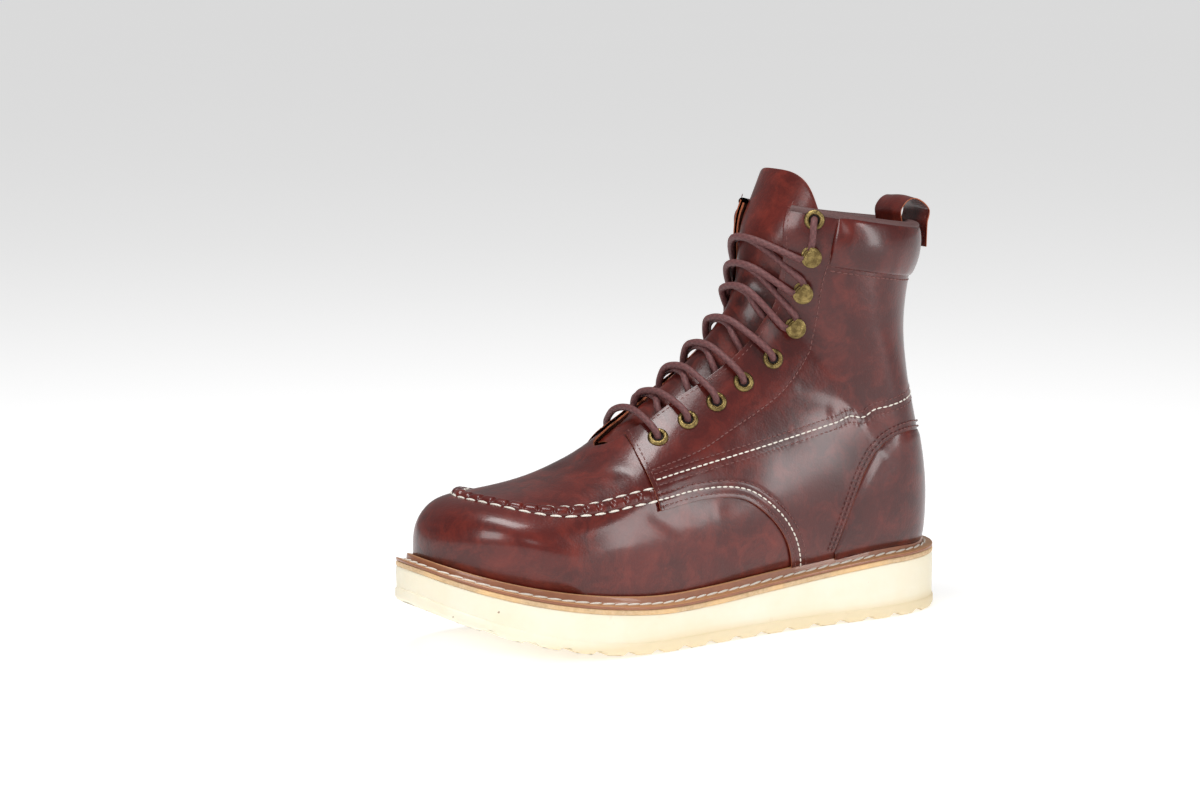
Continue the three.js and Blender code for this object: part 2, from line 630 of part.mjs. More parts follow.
for (let k = 0; k <= SEAM_STEPS; k += 1) {
    const f = k / SEAM_STEPS;
    const t = SEAM_ENDS[0] + (SEAM_ENDS[1] - SEAM_ENDS[0]) * f;
    const at = (s) => skin(seamAt(s), s);
    const along = at(t + SEAM_STEP).sub(at(t - SEAM_STEP)).normalize();
    const normal = skinNormal(seamAt(t), t);
    const across = along.clone().cross(normal);
    const middle = at(t);
    ridgeLoops.push(ridgeSection.map(([w, h]) => middle.clone()
        .addScaledVector(across, w * RIDGE_WIDTH).addScaledVector(normal, h * RIDGE_HEIGHT)));
}
const ridge = solidOf(loft(ridgeLoops));

// Eyelets and hooks stand beside the throat: the section of each row, and its
// place from the crown as a share of the girth
const EYELETS = [[9.85, 0.127], [10.7, 0.131], [11.6, 0.131], [12.7, 0.126], [14.4, 0.122]];
const HOOKS = [[18.1, 0.106], [21.7, 0.121], [24.3, 0.141]];
const TOP_EYELET = [26.35, 0.137];
const ROWS = [...EYELETS, ...HOOKS, TOP_EYELET];

function fixing([u, share], side, offset) {
    const t = 0.5 - side * share;
    const normal = skinNormal(u, t);
    const inward = skin(u, t + side * 0.01).sub(skin(u, t - side * 0.01)).normalize();
    const along = normal.clone().cross(inward).normalize();
    const matrix = new THREE.Matrix4().makeBasis(along.clone().cross(normal), along, normal);
    return matrix.setPosition(skin(u, t).addScaledVector(normal, offset));
}

function turned(profile, segments) {
    const geometry = new THREE.LatheGeometry(profile.map(([r, z]) => new Vector2(r, z)), segments);
    return geometry.rotateX(Math.PI / 2);
}

const EYELET_SIDES = 8;
const EYELET_WALL = 0.5;
const HOOK_RIVET = 3.2;
const rod = (radius, low, high) => turned([
    [0, low], [radius, low], [radius, high], [0, high],
], EYELET_SIDES);
const eyeletHole = rod(EYELET_BORE / 2 + EYELET_WALL + GAP * 2, -WALL * 2, WALL * 2);
const rivetHole = rod(HOOK_RIVET / 2 + GAP * 2, -WALL * 2, WALL * 2);
const holes = [1, -1].flatMap((side) => ROWS.map((row) => {
    const hole = HOOKS.includes(row) ? rivetHole : eyeletHole;
    return solidOf(hole.clone().applyMatrix4(fixing(row, side, 0)));
}));

addPiece('welt', weltRing
    .subtract(form(GAP, GAP, GAP))
    .subtract(form(OVERLAY + GAP, GAP, GAP).intersect(quarterSide))
    .subtract(form(OVERLAY + COUNTER + GAP, GAP, GAP).intersect(counterSide)), RUST, 0.6);

const skirt = WALL * 2; // past the feather line and collar, for the cuts there
const outside = form(0, skirt, skirt);
const quarterThroat = throat(THROAT_ROW - QUARTER_BACKSET);
const quarter = form(OVERLAY, skirt, skirt).intersect(quarterSide).subtract(quarterThroat);
const counter = form(OVERLAY + COUNTER, skirt, skirt).intersect(counterSide);
const inside = form(-WALL, skirt * 2, skirt * 2);
const upper = wasm.Manifold.union([outside, quarter, counter, ridge])
    .subtract(inside)
    .subtract(throat(THROAT_ROW))
    .subtract(collarSide)
    .subtract(soleSide)
    .subtract(wasm.Manifold.union(holes));
addPiece('upper', upper, OXBLOOD, 0.35);

// Tongue: under the throat from the vamp to over the collar
const TONGUE_ROWS = [8.9, LAST_ROW - 0.1];
const TONGUE_FOOT = 0.62; // width at the foot, share of the top's
const TONGUE_CORNER = 1.2; // how far the top's corners drop, in sections
const TONGUE_GIRTH = 270; // girth of the upper at the tongue's top
const tongueHalf = (v) => (TONGUE_WIDTH / 2 / TONGUE_GIRTH) * (TONGUE_FOOT + (1 - TONGUE_FOOT) * v);
function tongueSection(v, t) {
    const corner = (Math.abs(t - 0.5) / tongueHalf(v)) ** 4 * TONGUE_CORNER * v ** 4;
    return TONGUE_ROWS[0] + (TONGUE_ROWS[1] - TONGUE_ROWS[0]) * v - corner;
}
addPiece('tongue', patch({
    section: tongueSection, rows: 14, columns: 6,
    left: (v) => 0.5 - tongueHalf(v), right: (v) => 0.5 + tongueHalf(v),
    inner: () => -WALL - GAP * 3 - TONGUE, outer: () => -WALL - GAP * 3,
}), OXBLOOD, 0.4);

// Collar cuff: a padded band round the back of the collar
const CUFF_PAD = 3.6;
const CUFF_EDGE = 0.8;
const CUFF_REACH = 0.322; // each way round from the back, share of the girth
const CUFF_BAND = [25, 1.5]; // foot and top of the cuff under the collar's edge
function cuffSection(v, t) {
    const drop = CUFF_BAND[0] + (CUFF_BAND[1] - CUFF_BAND[0]) * v;
    let [low, high] = [HEEL_ROW, LAST_ROW];
    for (let k = 0; k < HALVINGS; k += 1) {
        const mid = (low + high) / 2;
        const p = skin(mid, t);
        if (p.z < collarZ(p.y) - drop) low = mid;
        else high = mid;
    }
    return low;
}
const cuffSeat = OVERLAY + 2 * GAP;
const CUFF_FADE = 1 / 8; // each end's taper, share of the cuff's length
const cuffBulge = (v, w) => (
    CUFF_PAD * Math.sin(Math.PI * v) ** 0.7 * Math.min(w / CUFF_FADE, (1 - w) / CUFF_FADE, 1)
);
addPiece('collar_cuff', patch({
    section: cuffSection, rows: 4, columns: 16,
    left: () => -CUFF_REACH, right: () => CUFF_REACH,
    inner: () => cuffSeat, outer: (v, w) => cuffSeat + CUFF_EDGE + cuffBulge(v, w),
}), OXBLOOD, 0.35);

// Eyelets: a barrel through the wall with a domed flange outside
const FLANGE_SEAT = OVERLAY + 2 * GAP;
const EYELET_DOME = 1;
const eyelet = turned([
    [EYELET_BORE / 2, -WALL], [EYELET_BORE / 2 + EYELET_WALL, -WALL],
    [EYELET_BORE / 2 + EYELET_WALL, FLANGE_SEAT], [EYELET_FLANGE / 2, FLANGE_SEAT],
    [EYELET_BORE / 2, FLANGE_SEAT + EYELET_DOME], [EYELET_BORE / 2, -WALL],
], EYELET_SIDES);
const SIDES = { lateral: 1, medial: -1 };
Object.entries(SIDES).forEach(([name, side]) => [...EYELETS, TOP_EYELET].forEach((row, k) => {
    const ring = eyelet.clone().applyMatrix4(fixing(row, side, 0));
    addPiece(`eyelet_${name}_${k + 1}`, solidOf(ring), BRASS, 0.4, 1);
}));

// Hooks: a strip riveted through the wall, bent up on the throat's side and
// back under a cap
const HOOK_REACH = 4.6;
const HOOK_SEAT = FLANGE_SEAT + 2 * GAP;
const HOOK_GAUGE = 0.9;
const HOOK_RISE = 4.4;
const HOOK_BEND = 1.4;
const HOOK_BASE = 4.2; // reach of the strip's foot the other way
const HOOK_TURN = HOOK_BEND + HOOK_GAUGE / 2; // the bend on the inside
const hookOutline = [
    [-HOOK_BASE, 0], [HOOK_REACH - HOOK_BEND, 0], [HOOK_REACH, HOOK_BEND],
    [HOOK_REACH, HOOK_RISE - HOOK_BEND], [HOOK_REACH - HOOK_BEND, HOOK_RISE], [-HOOK_REACH, HOOK_RISE],
    [-HOOK_REACH, HOOK_RISE - HOOK_GAUGE], [HOOK_REACH - HOOK_TURN, HOOK_RISE - HOOK_GAUGE],
    [HOOK_REACH - HOOK_GAUGE, HOOK_RISE - HOOK_TURN], [HOOK_REACH - HOOK_GAUGE, HOOK_TURN],
    [HOOK_REACH - HOOK_TURN, HOOK_GAUGE], [-HOOK_BASE, HOOK_GAUGE],
];
const hook = new THREE.ExtrudeGeometry(
    new THREE.Shape(hookOutline.map(([x, z]) => new Vector2(x, z))),
    { depth: HOOK_WIDTH, bevelEnabled: false, steps: 1 },
).translate(0, 0, -HOOK_WIDTH / 2).rotateX(Math.PI / 2);
const pin = rod(HOOK_RIVET / 2, -WALL, HOOK_SEAT + HOOK_GAUGE / 2);
Object.entries(SIDES).forEach(([name, side]) => HOOKS.forEach((row, k) => {
    const bent = solidOf(hook.clone().applyMatrix4(fixing(row, side, HOOK_SEAT)));
    const rivet = solidOf(pin.clone().applyMatrix4(fixing(row, side, 0)));
    addPiece(`hook_${name}_${k + 1}`, bent.add(rivet), BRASS, 0.4, 1);
}));

// Laces: a bar over the lowest eyelets, a crossing between each two rows, and
// an upright on each side from the last hook to the top eyelet
const LACE_SIDES = 6;
const LACE_LIFT = FLANGE_SEAT + EYELET_DOME + GAP + LACE / 2;
const HOOK_LIFT = HOOK_SEAT + HOOK_RISE / 2;
const HOOK_STANDOFF = HOOK_REACH + GAP + LACE / 4;
const DEPART = 0.32; // where a strand leaves the throat's edge, between two rows
const EDGE_MARGIN = 0.012; // from the throat's edge to the strand, share of the girth
const BAR_STEPS = 6;
const CROSSING_STEPS = 4;
const UPRIGHT_STEPS = 3;
const edgeShare = (u) => throatHalf(u) + EDGE_MARGIN;

function laceTube(ends, steps) {
    const [from, to] = ends;
    const points = [];
    for (let k = 0; k <= steps; k += 1) {
        const f = k / steps;
        const mix = (a, b) => a + (b - a) * f;
        points.push(skinPoint(mix(from.u, to.u), mix(from.t, to.t), mix(from.lift, to.lift)));
    }
    if (to.point) points[steps] = to.point;
    const shape = new THREE.Shape(Array.from({ length: LACE_SIDES }, (_, k) => {
        const turn = (k / LACE_SIDES) * 2 * Math.PI;
        return new Vector2(Math.cos(turn), Math.sin(turn)).multiplyScalar(LACE / 2);
    }));
    const extrudePath = new THREE.CatmullRomCurve3(points);
    return solidOf(new THREE.ExtrudeGeometry(shape, { extrudePath, steps, bevelEnabled: false }));
}

const laceEnd = (u, share, side, lift) => ({ u, t: 0.5 - side * share, lift });

// The end of a strand just off a hook's bend.
function hookEnd(row, side) {
    const point = new Vector3(HOOK_STANDOFF, 0, HOOK_LIFT).applyMatrix4(fixing(row, side, 0));
    return { ...laceEnd(...row, side, HOOK_LIFT), point };
}

const [firstRow, firstShare] = EYELETS[0];
const barEnds = [1, -1].map((side) => laceEnd(firstRow, firstShare, side, LACE_LIFT));
addPiece('lace_bar', laceTube(barEnds, BAR_STEPS), MAUVE, 0.7);
const crossed = [...EYELETS, ...HOOKS];
for (let k = 0; k + 1 < crossed.length; k += 1) {
    const [low, high] = [crossed[k][0], crossed[k + 1][0]];
    const hooked = k + 1 >= EYELETS.length;
    const start = low + (high - low) * DEPART;
    const strands = [1, -1].map((side) => laceTube([
        laceEnd(start, edgeShare(start), side, k >= EYELETS.length ? HOOK_LIFT : LACE_LIFT),
        hooked ? hookEnd(crossed[k + 1], -side) : laceEnd(...crossed[k + 1], -side, LACE_LIFT),
    ], CROSSING_STEPS));
    addPiece(`lace_crossing_${k + 1}`, strands[0].add(strands[1]), MAUVE, 0.7);
}
const [lastHook, topEyelet] = [HOOKS[HOOKS.length - 1], TOP_EYELET];
const uprightStart = [0, 1].map((c) => (lastHook[c] + topEyelet[c]) / 2);
Object.entries(SIDES).forEach(([name, side]) => {
    const upright = laceTube([
        laceEnd(...uprightStart, side, LACE_LIFT), laceEnd(...topEyelet, side, LACE_LIFT),
    ], UPRIGHT_STEPS);
    addPiece(`lace_upright_${name}`, upright, MAUVE, 0.7);
});

// Pull loop: a strap from inside the collar over its back to outside the cuff
const LOOP_RISE = 13;
const LOOP_LEG = 13; // length of each leg under the collar's edge
const LOOP_SEAT = 3.7; // inner leg off the upper's inside, which leans there
const rim = skin(cuffSection(1, 0), 0);
const innerLeg = rim.y - WALL - LOOP_SEAT - LOOP_THICKNESS / 2;
const outerLeg = rim.y + cuffSeat + CUFF_EDGE + CUFF_PAD + GAP + LOOP_THICKNESS / 2;
const collarTop = collarZ(rim.y);
const loopLine = new THREE.CatmullRomCurve3([
    new Vector3(0, innerLeg - 1, collarTop - LOOP_LEG),
    new Vector3(0, innerLeg, collarTop),
    new Vector3(0, innerLeg - 0.5, collarTop + LOOP_RISE * 0.6),
    new Vector3(0, (innerLeg + outerLeg) / 2 - 1, collarTop + LOOP_RISE),
    new Vector3(0, outerLeg + 1, collarTop + LOOP_RISE * 0.55),
    new Vector3(0, outerLeg, collarTop),
    new Vector3(0, outerLeg - 0.5, collarTop - LOOP_LEG),
]);
const LOOP_STEPS = 14;
const loopEdges = [1, -1].map((sign) => Array.from({ length: LOOP_STEPS + 1 }, (_, k) => {
    const [p, along] = [loopLine.getPoint(k / LOOP_STEPS), loopLine.getTangent(k / LOOP_STEPS)];
    return new Vector2(p.y - sign * along.z * LOOP_THICKNESS / 2, p.z + sign * along.y * LOOP_THICKNESS / 2);
}));
const loopShape = new THREE.Shape([...loopEdges[0], ...loopEdges[1].reverse()]);
const loop = new THREE.ExtrudeGeometry(loopShape, { depth: LOOP_WIDTH, bevelEnabled: false, steps: 1 });
loop.applyMatrix4(new THREE.Matrix4().makeBasis(
    new Vector3(0, 1, 0), new Vector3(0, 0, 1), new Vector3(1, 0, 0),
)).translate(-LOOP_WIDTH / 2, 0, 0);
addPiece('pull_loop', solidOf(loop), OXBLOOD, 0.4);

export default boot;
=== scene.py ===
import math
import random

import bpy
import numpy as np
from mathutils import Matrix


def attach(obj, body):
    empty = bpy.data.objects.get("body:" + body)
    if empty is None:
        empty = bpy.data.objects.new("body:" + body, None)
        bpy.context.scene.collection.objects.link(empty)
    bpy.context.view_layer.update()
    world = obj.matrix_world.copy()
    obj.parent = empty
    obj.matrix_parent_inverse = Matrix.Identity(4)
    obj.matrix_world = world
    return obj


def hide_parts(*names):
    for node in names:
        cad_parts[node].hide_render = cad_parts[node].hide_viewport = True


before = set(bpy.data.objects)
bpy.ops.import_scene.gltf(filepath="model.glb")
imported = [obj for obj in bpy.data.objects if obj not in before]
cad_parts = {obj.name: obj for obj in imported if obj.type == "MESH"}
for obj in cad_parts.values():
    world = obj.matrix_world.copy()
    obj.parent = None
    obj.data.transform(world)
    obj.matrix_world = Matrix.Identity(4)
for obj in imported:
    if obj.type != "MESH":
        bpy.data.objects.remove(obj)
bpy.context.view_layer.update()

# Studio: a pale sweep under one boot, seen from its outer side a little ahead
# of square, with a large soft light over it, one at the toe's side and a tall
# strip behind the heel's side.
MM = 0.001
AZIMUTH, ELEVATION = 60, 8.5
EYE = (1.56165, -1.06731, 0.39077)
LENS = 108.54
bpy.ops.object.select_all(action="DESELECT")
turn = (math.radians(90 - ELEVATION), 0, math.radians(AZIMUTH))
bpy.ops.object.camera_add(location=EYE, rotation=turn)
camera = bpy.context.object
camera.data.lens = LENS
camera.data.sensor_width = 36
bpy.context.scene.camera = camera
bpy.context.scene.view_settings.view_transform = "Standard"


def softbox(name, place, target, size, power, colour=(1, 1, 1)):
    bpy.ops.object.light_add(type="AREA", location=place)
    lamp = bpy.context.object
    lamp.name = name
    lamp.data.shape = "RECTANGLE"
    lamp.data.size, lamp.data.size_y = size
    lamp.data.energy = power
    lamp.data.color = colour
    aim = lamp.location - type(lamp.location)(target)
    lamp.rotation_euler = aim.to_track_quat("Z", "Y").to_euler()
    return lamp


softbox("overhead", (0.1, -0.35, 1.5), (0, -0.12, 0.1), (0.8, 0.5), 15)
softbox("toe_side", (0.75, -1.5, 0.75), (0, -0.15, 0.1), (0.6, 0.6), 9)
softbox("heel_strip", (1.25, 0.75, 0.55), (0, 0.0, 0.14), (0.22, 1.1), 8)
softbox("camera_fill", (1.9, -0.6, 0.9), (0, -0.1, 0.1), (0.5, 0.4), 2)


class Wire:
    """An output in a material's node tree, with arithmetic on it."""

    def __init__(self, tree, socket=None):
        self.tree, self.socket = tree, socket

    def node(self, kind, settings=None, inputs=None, output=0):
        made = self.tree.nodes.new(kind)
        for name, value in (settings or {}).items():
            if name == "stops":
                stops = made.color_ramp.elements
                while len(stops) < len(value):
                    stops.new(1)
                for stop, (place, colour) in zip(stops, value):
                    stop.position = place
                    stop.color = (*colour, 1) if isinstance(colour, tuple) else (colour, colour, colour, 1)
            else:
                setattr(made, name, value)
        for name, value in (inputs or {}).items():
            if isinstance(value, Wire):
                self.tree.links.new(value.socket, made.inputs[name])
            else:
                made.inputs[name].default_value = value
        return Wire(self.tree, made.outputs[output])

    def maths(self, operation, *values):
        return self.node("ShaderNodeMath", {"operation": operation}, dict(enumerate(values)))

    def __add__(self, other):
        return self.maths("ADD", self, other)

    def __sub__(self, other):
        return self.maths("SUBTRACT", self, other)

    def __rsub__(self, other):
        return self.maths("SUBTRACT", other, self)

    def __mul__(self, other):
        return self.maths("MULTIPLY", self, other)

    def __truediv__(self, other):
        return self.maths("DIVIDE", self, other)

    __radd__ = __add__
    __rmul__ = __mul__

    def ramp(self, *stops):
        return self.node("ShaderNodeValToRGB", {"stops": stops}, {"Fac": self})

    def blend(self, low, high, how="MIX"):
        """Colour low where this is 0 and high where it is 1."""
        colours = [(*c, 1) if isinstance(c, tuple) else c for c in (low, high)]
        settings = {"data_type": "RGBA", "blend_type": how}
        return self.node("ShaderNodeMix", settings, {0: self, 6: colours[0], 7: colours[1]}, output=2)

    def noise(self, scale, detail=3.0, roughness=0.5, distortion=0.0):
        """Noise with this many lumps to the metre, at this place."""
        inputs = {"Vector": self, "Scale": scale, "Detail": detail, "Roughness": roughness,
                  "Distortion": distortion}
        return self.node("ShaderNodeTexNoise", None, inputs)

    def bump(self, strength, distance, under=None):
        inputs = {"Height": self, "Strength": strength, "Distance": distance}
        if under:
            inputs["Normal"] = under
        return self.node("ShaderNodeBump", None, inputs)


def material(name):
    """A new material, the place on its piece and its shader."""
    made = bpy.data.materials.new(name)
    made.use_nodes = True
    tree = made.node_tree
    place = Wire(tree).node("ShaderNodeTexCoord", output=3)
    return made, place, tree.nodes["Principled BSDF"]


def feed(shader, **values):
    """Sets or links the shader's sockets, named with underscores."""
    for name, value in values.items():
        socket = shader.inputs[name.replace("_", " ")]
        if isinstance(value, Wire):
            value.tree.links.new(value.socket, socket)
        else:
            socket.default_value = (*value, 1) if isinstance(value, tuple) else value


FLOOR_SIZE = 60
bpy.ops.mesh.primitive_plane_add(size=FLOOR_SIZE, location=(0, 0, -0.0003))
floor = bpy.context.object
floor.name = "studio_floor"
paper, place, shader = material("studio_paper")
feed(shader, Base_Color=place.noise(1.5).blend((0.73, 0.73, 0.73), (0.76, 0.76, 0.76)), Roughness=0.8)
shader.inputs["Emission Color"].default_value = (1, 1, 1, 1)
shader.inputs["Emission Strength"].default_value = 0.5
floor.data.materials.append(paper)
world = bpy.data.worlds.new("studio_air")
world.use_nodes = True
world.node_tree.nodes["Background"].inputs["Color"].default_value = (1, 1, 1, 1)
world.node_tree.nodes["Background"].inputs["Strength"].default_value = 0.26
bpy.context.scene.world = world

# Outsole: one wedge of cream foamed rubber, cast whole, with a smooth side, a
# stepped band along its foot and lugs across its tread. It is cemented under
# the midsole and carries the whole boot.
SOLE_LENGTH, SOLE_WIDTH = 306, 108
HEEL_BACK, HEEL_HEIGHT, TOE_SPRING = 34, 28.5, 29
GAP, MIDSOLE, FLANGE = 0.3, 2.2, 1.6
SOLE = np.array([
    # along, lateral, medial, bottom, top
    [0.0, 0.0, 0.0, 0.0, 1.02],
    [0.012, 0.13, 0.13, 0.0, 1.02],
    [0.045, 0.245, 0.24, 0.0, 1.02],
    [0.1, 0.32, 0.31, 0.0, 1.01],
    [0.17, 0.352, 0.342, 0.0, 0.99],
    [0.28, 0.355, 0.335, 0.0, 0.89],
    [0.4, 0.378, 0.325, 0.0, 0.78],
    [0.52, 0.43, 0.36, 0.0, 0.7],
    [0.62, 0.478, 0.43, 0.0, 0.69],
    [0.71, 0.497, 0.487, 0.05, 0.775],
    [0.79, 0.478, 0.505, 0.18, 0.9],
    [0.86, 0.415, 0.49, 0.35, 1.05],
    [0.92, 0.315, 0.435, 0.55, 1.22],
    [0.965, 0.185, 0.345, 0.74, 1.38],
    [0.99, 0.06, 0.24, 0.87, 1.49],
    [1.0, -0.08, 0.08, 0.93, 1.53],
])


def smooth(xs, ys, x):
    """A smooth curve through the values ys at the places xs."""
    xs, ys, x = np.asarray(xs, float), np.asarray(ys, float), np.asarray(x, float)
    last = len(xs) - 1
    i = np.clip(np.searchsorted(xs, x) - 1, 0, last - 1)
    k = np.arange(last + 1)
    before, after = np.maximum(k - 1, 0), np.minimum(k + 1, last)
    slope = (ys[after] - ys[before]) / (xs[after] - xs[before])
    span = xs[i + 1] - xs[i]
    f = np.clip((x - xs[i]) / span, 0, 1)
    into = f * (1 - f) ** 2 * slope[i] - f ** 2 * (1 - f) * slope[i + 1]
    return ys[i] + (ys[i + 1] - ys[i]) * f * f * (3 - 2 * f) + span * into


def along_of(y):
    return (HEEL_BACK - y) / SOLE_LENGTH


def bottom_z(y):
    return TOE_SPRING * np.maximum(smooth(SOLE[:, 0], SOLE[:, 3], along_of(y)), 0)


def wedge_z(y):
    return HEEL_HEIGHT * smooth(SOLE[:, 0], SOLE[:, 4], along_of(y))


def midsole_z(y):
    return wedge_z(y) + GAP + MIDSOLE


def flange_z(y):
    return midsole_z(y) + GAP + FLANGE


def feather_z(y):
    return flange_z(y) + 2 * GAP


def closed_curve(points, count):
    """Evenly numbered points of a centripetal curve through a closed ring."""
    number = len(points)
    at = np.arange(count) / count * number
    i, f = at.astype(int), (at % 1)[:, None]
    p = [points[(i + k) % number] for k in (-1, 0, 1, 2)]
    gap = [np.linalg.norm(p[k + 1] - p[k], axis=1)[:, None] ** 0.5 for k in range(3)]
    start = (p[1] - p[0]) / gap[0] - (p[2] - p[0]) / (gap[0] + gap[1]) + (p[2] - p[1]) / gap[1]
    end = (p[2] - p[1]) / gap[1] - (p[3] - p[1]) / (gap[1] + gap[2]) + (p[3] - p[2]) / gap[2]
    start, end = start * gap[1], end * gap[1]
    rise = 2 * p[1] - 2 * p[2] + start + end
    turn_in = -3 * p[1] + 3 * p[2] - 2 * start - end
    return rise * f ** 3 + turn_in * f ** 2 + start * f + p[1]


def soften(values, sigma, closed=False):
    """Rows of values smoothed along their first axis, over sigma rows."""
    reach = int(3 * sigma)
    weights = np.exp(-0.5 * (np.arange(-reach, reach + 1) / sigma) ** 2)
    weights /= weights.sum()
    if closed:
        padded = np.concatenate([values[-reach:], values, values[:reach]])
    else:
        head = 2 * values[:1] - values[reach:0:-1]
        tail = 2 * values[-1:] - values[-2:-reach - 2:-1]
        padded = np.concatenate([head, values, tail])
    return sum(w * padded[k:k + len(values)] for k, w in enumerate(weights))


RING = np.array(
    [[lateral * SOLE_WIDTH, HEEL_BACK - along * SOLE_LENGTH] for along, lateral, *_ in SOLE]
    + [[-medial * SOLE_WIDTH, HEEL_BACK - along * SOLE_LENGTH] for along, _, medial, *_ in SOLE[-2:0:-1]]
)
RING_STEPS = 3000
TOE_SHARE = (len(SOLE) - 1) / len(RING)
ring = soften(closed_curve(RING, RING_STEPS), 16, closed=True)
tangent = np.roll(ring, -1, axis=0) - np.roll(ring, 1, axis=0)
tangent /= np.linalg.norm(tangent, axis=1)[:, None]
ring_inward = soften(np.stack([tangent[:, 1], -tangent[:, 0]], axis=1), 16, closed=True)
ring_inward /= np.linalg.norm(ring_inward, axis=1)[:, None]


def ring_at(values, turn_share):
    """Values round the ring at a share of a whole turn from the heel."""
    at = np.asarray(turn_share, float) % 1 * RING_STEPS
    low = at.astype(int) % RING_STEPS
    f = (at % 1)[..., None]
    return values[low] * (1 - f) + values[(low + 1) % RING_STEPS] * f


def outline_at(share, side, inset=0.0):
    """Outline points from heel to toe on one side, moved in by an inset."""
    share = np.asarray(share, float)
    whole = share * TOE_SHARE if side > 0 else 1 - share * (1 - TOE_SHARE)
    depth = np.broadcast_to(inset, share.shape)[..., None]
    return ring_at(ring, whole) + ring_at(ring_inward, whole) * depth


def sheet(name, rows, columns, spot):
    """A grid primitive whose points are put by spot(f, g) in millimetres."""
    bpy.ops.object.select_all(action="DESELECT")
    bpy.ops.mesh.primitive_grid_add(x_subdivisions=rows, y_subdivisions=columns, size=2)
    piece = bpy.context.object
    piece.name = name
    flat = np.empty(len(piece.data.vertices) * 3)
    piece.data.vertices.foreach_get("co", flat)
    shares = np.clip(flat.reshape(-1, 3)[:, :2] / 2 + 0.5, 0, 1)
    points = spot(shares[:, 0], shares[:, 1]) * MM
    piece.data.vertices.foreach_set("co", points.ravel())
    piece.data.update()
    return piece


def weld(piece, distance=0.02, outward=False):
    bpy.ops.object.select_all(action="DESELECT")
    piece.select_set(True)
    bpy.context.view_layer.objects.active = piece
    bpy.ops.object.mode_set(mode="EDIT")
    bpy.ops.mesh.select_all(action="SELECT")
    bpy.ops.mesh.remove_doubles(threshold=distance * MM)
    if outward:
        bpy.ops.mesh.normals_make_consistent(inside=False)
    bpy.ops.object.mode_set(mode="OBJECT")


def modify(piece, kind, **settings):
    """Adds one modifier and applies it."""
    made = piece.modifiers.new(kind.lower(), kind)
    for name, value in settings.items():
        setattr(made, name, value)
    bpy.ops.object.select_all(action="DESELECT")
    piece.select_set(True)
    bpy.context.view_layer.objects.active = piece
    bpy.ops.object.modifier_apply(modifier=made.name)


def thicken(piece, depth, outward=False, rim=1, inner=0, edge=0.35, even=True):
    """Gives a sheet its thickness, with rounded edges."""
    while len(piece.data.materials) <= max(rim, inner):
        piece.data.materials.append(None)
    modify(piece, "SOLIDIFY", thickness=depth * MM, offset=1 if outward else -1, use_even_offset=even,
           material_offset_rim=rim, material_offset=inner, thickness_clamp=1)
    if edge:
        modify(piece, "BEVEL", width=edge * MM, segments=2, limit_method="ANGLE",
               angle_limit=math.radians(55), use_clamp_overlap=True)


def smooth_faces(piece, angle=45):
    bpy.ops.object.select_all(action="DESELECT")
    piece.select_set(True)
    bpy.context.view_layer.objects.active = piece
    bpy.ops.object.shade_smooth_by_angle(angle=math.radians(angle))


def finish(piece, slot, nodes, *materials):
    for k, made in enumerate(materials):
        if k < len(piece.data.materials):
            piece.data.materials[k] = made
        else:
            piece.data.materials.append(made)
    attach(piece, "root")
    if nodes:
        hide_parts(*nodes)


LUG_PITCH, LUG_DEPTH, GROOVE_MOUTH, GROOVE_FLOOR = 17, 1.8, 8, 3.2
BAND_TOP = 7
SOLE_ROWS = [
    # inset from the outline, height over the foot of the wall, share of the wall's top
    (1.6, 0.0, 0), (0.9, 0.25, 0), (0.3, 0.9, 0), (0.0, 1.8, 0), (-0.05, 3.4, 0), (0.0, 5.4, 0),
    (0.25, 6.0, 0), (0.65, 6.35, 0), (0.7, 7.0, 0), (0.55, 0, 0.5), (0.5, 0, 0.75),
    (0.65, 0, 0.92), (0.9, 0, 0.985), (1.6, 0, 1),
]


def groove_depth(y):
    """How far the tread is cut away at a place along the foot."""
    off = np.abs((y + LUG_PITCH / 2 + LUG_PITCH * 30) % LUG_PITCH)
    off = np.minimum(off, LUG_PITCH - off)
    return LUG_DEPTH * np.clip((GROOVE_MOUTH / 2 - off) / ((GROOVE_MOUTH - GROOVE_FLOOR) / 2), 0, 1)


def sole_stations():
    """Places along the foot, close together at both ends and at each groove."""
    ys = [HEEL_BACK - SOLE_LENGTH * (0.5 - 0.5 * math.cos(math.pi * k / 120)) for k in range(121)]
    for pitch in range(-16, 2):
        middle = (pitch + 0.5) * LUG_PITCH
        ys += [middle + s * w / 2 for s in (-1, 1) for w in (GROOVE_MOUTH + 1.2, GROOVE_MOUTH, GROOVE_FLOOR)]
    ys = np.array(sorted((y for y in ys if HEEL_BACK - SOLE_LENGTH < y < HEEL_BACK), reverse=True))
    return ys[np.concatenate([[True], np.diff(ys) < -0.35])]


fine_share = np.linspace(0, 1, 4001)
stations = sole_stations()
sole_loop = []
for side in (1, -1):
    line = outline_at(fine_share, side)[:, 1]
    line = np.minimum.accumulate(line)
    shares = np.interp(-stations, -line, fine_share)
    whole = shares * TOE_SHARE if side > 0 else 1 - shares * (1 - TOE_SHARE)
    sole_loop.append(whole)
sole_turns = np.concatenate([[0.0], sole_loop[0], [TOE_SHARE], sole_loop[1][::-1]])


